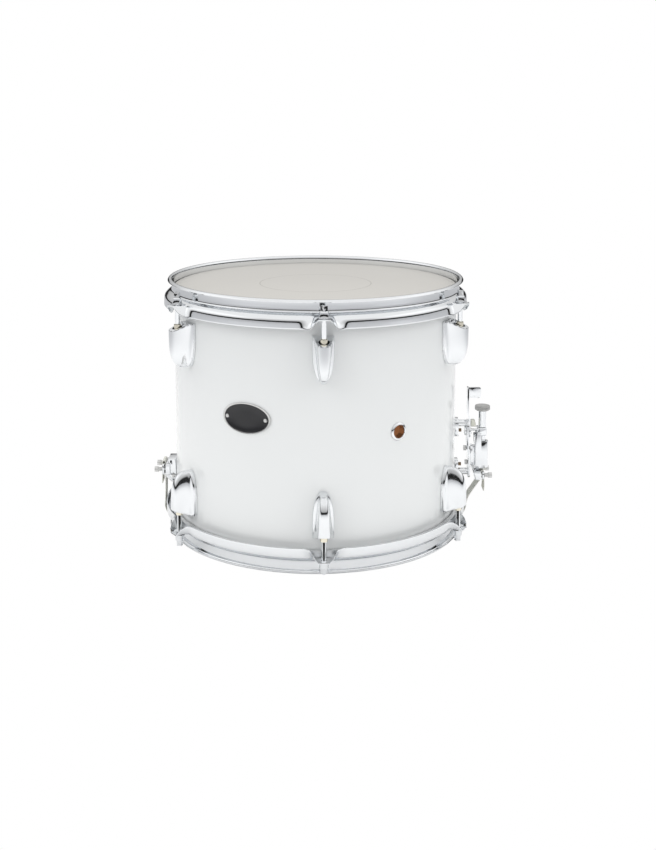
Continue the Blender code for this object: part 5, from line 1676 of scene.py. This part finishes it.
def make_world():
    world = bpy.data.worlds.new("room")
    bpy.context.scene.world = world
    world.use_nodes = True
    tree = world.node_tree
    tree.nodes.clear()

    def added(kind):
        return tree.nodes.new(kind)

    out = added("ShaderNodeOutputWorld")
    split = added("ShaderNodeSeparateXYZ")
    tree.links.new(added("ShaderNodeTexCoord").outputs["Generated"], split.inputs[0])
    x, y, z = (Value(tree, output) for output in split.outputs)
    sky = ((z - 0.15) * 2.0).clamped() * (SKY_TOP - SKY_LOW) + SKY_LOW
    sides = ((x * x - 0.36) * 4.0).clamped() * ((z - 0.14) * 10.0).clamped()
    horizon = ((z + 0.07) * 30.0).clamped() * ((0.13 - z) * 30.0).clamped()
    shade = (sky + sides * SIDE_BRIGHT) * (1 - horizon * HORIZON_DARK)
    room = added("ShaderNodeBackground")
    tree.links.new(shade.socket, room.inputs["Color"])
    seen = added("ShaderNodeBackground")
    seen.inputs["Color"].default_value = (1, 1, 1, 1)
    mix = added("ShaderNodeMixShader")
    tree.links.new(added("ShaderNodeLightPath").outputs["Is Camera Ray"], mix.inputs[0])
    tree.links.new(room.outputs[0], mix.inputs[1])
    tree.links.new(seen.outputs[0], mix.inputs[2])
    tree.links.new(mix.outputs[0], out.inputs["Surface"])


def softbox(name, place, target, size, power):
    light = bpy.data.lights.new(name, "AREA")
    light.shape, light.size, light.size_y = "RECTANGLE", size[0], size[1]
    light.energy = power
    made = bpy.data.objects.new(name, light)
    bpy.context.scene.collection.objects.link(made)
    made.location = place
    made.rotation_euler = (Vector(target) - Vector(place)).to_track_quat("-Z", "Y").to_euler()
    made.visible_camera = made.visible_glossy = False


def make_camera():
    data = bpy.data.cameras.new("camera")
    camera = bpy.data.objects.new("camera", data)
    bpy.context.scene.collection.objects.link(camera)
    data.lens, data.sensor_width = 52.52, 36.0
    data.shift_x, data.shift_y = 0.0147, -0.25
    data.clip_start, data.clip_end = 0.05, 50.0
    camera.location = (0, -1.557, 0.2476)
    camera.rotation_euler = (math.radians(84.21), 0, 0)
    bpy.context.scene.camera = camera


make_floor()
make_world()
softbox("left_box", (-1.5, -1.3, 0.9), (0, 0, -0.15), (1.2, 1.6), 8.0)
softbox("right_box", (1.7, -0.9, 0.7), (0, 0, -0.15), (0.8, 1.5), 6.0)
softbox("front_box", (0.0, -2.4, 0.3), (0, 0, -0.15), (2.0, 1.2), 2.4)
softbox("top_box", (0.0, 0.3, 1.6), (0, 0, 0), (1.6, 1.2), 6.0)
make_camera()

# %% [markdown]
# ## The last checks

# %%
bpy.context.scene.view_settings.view_transform = "Standard"
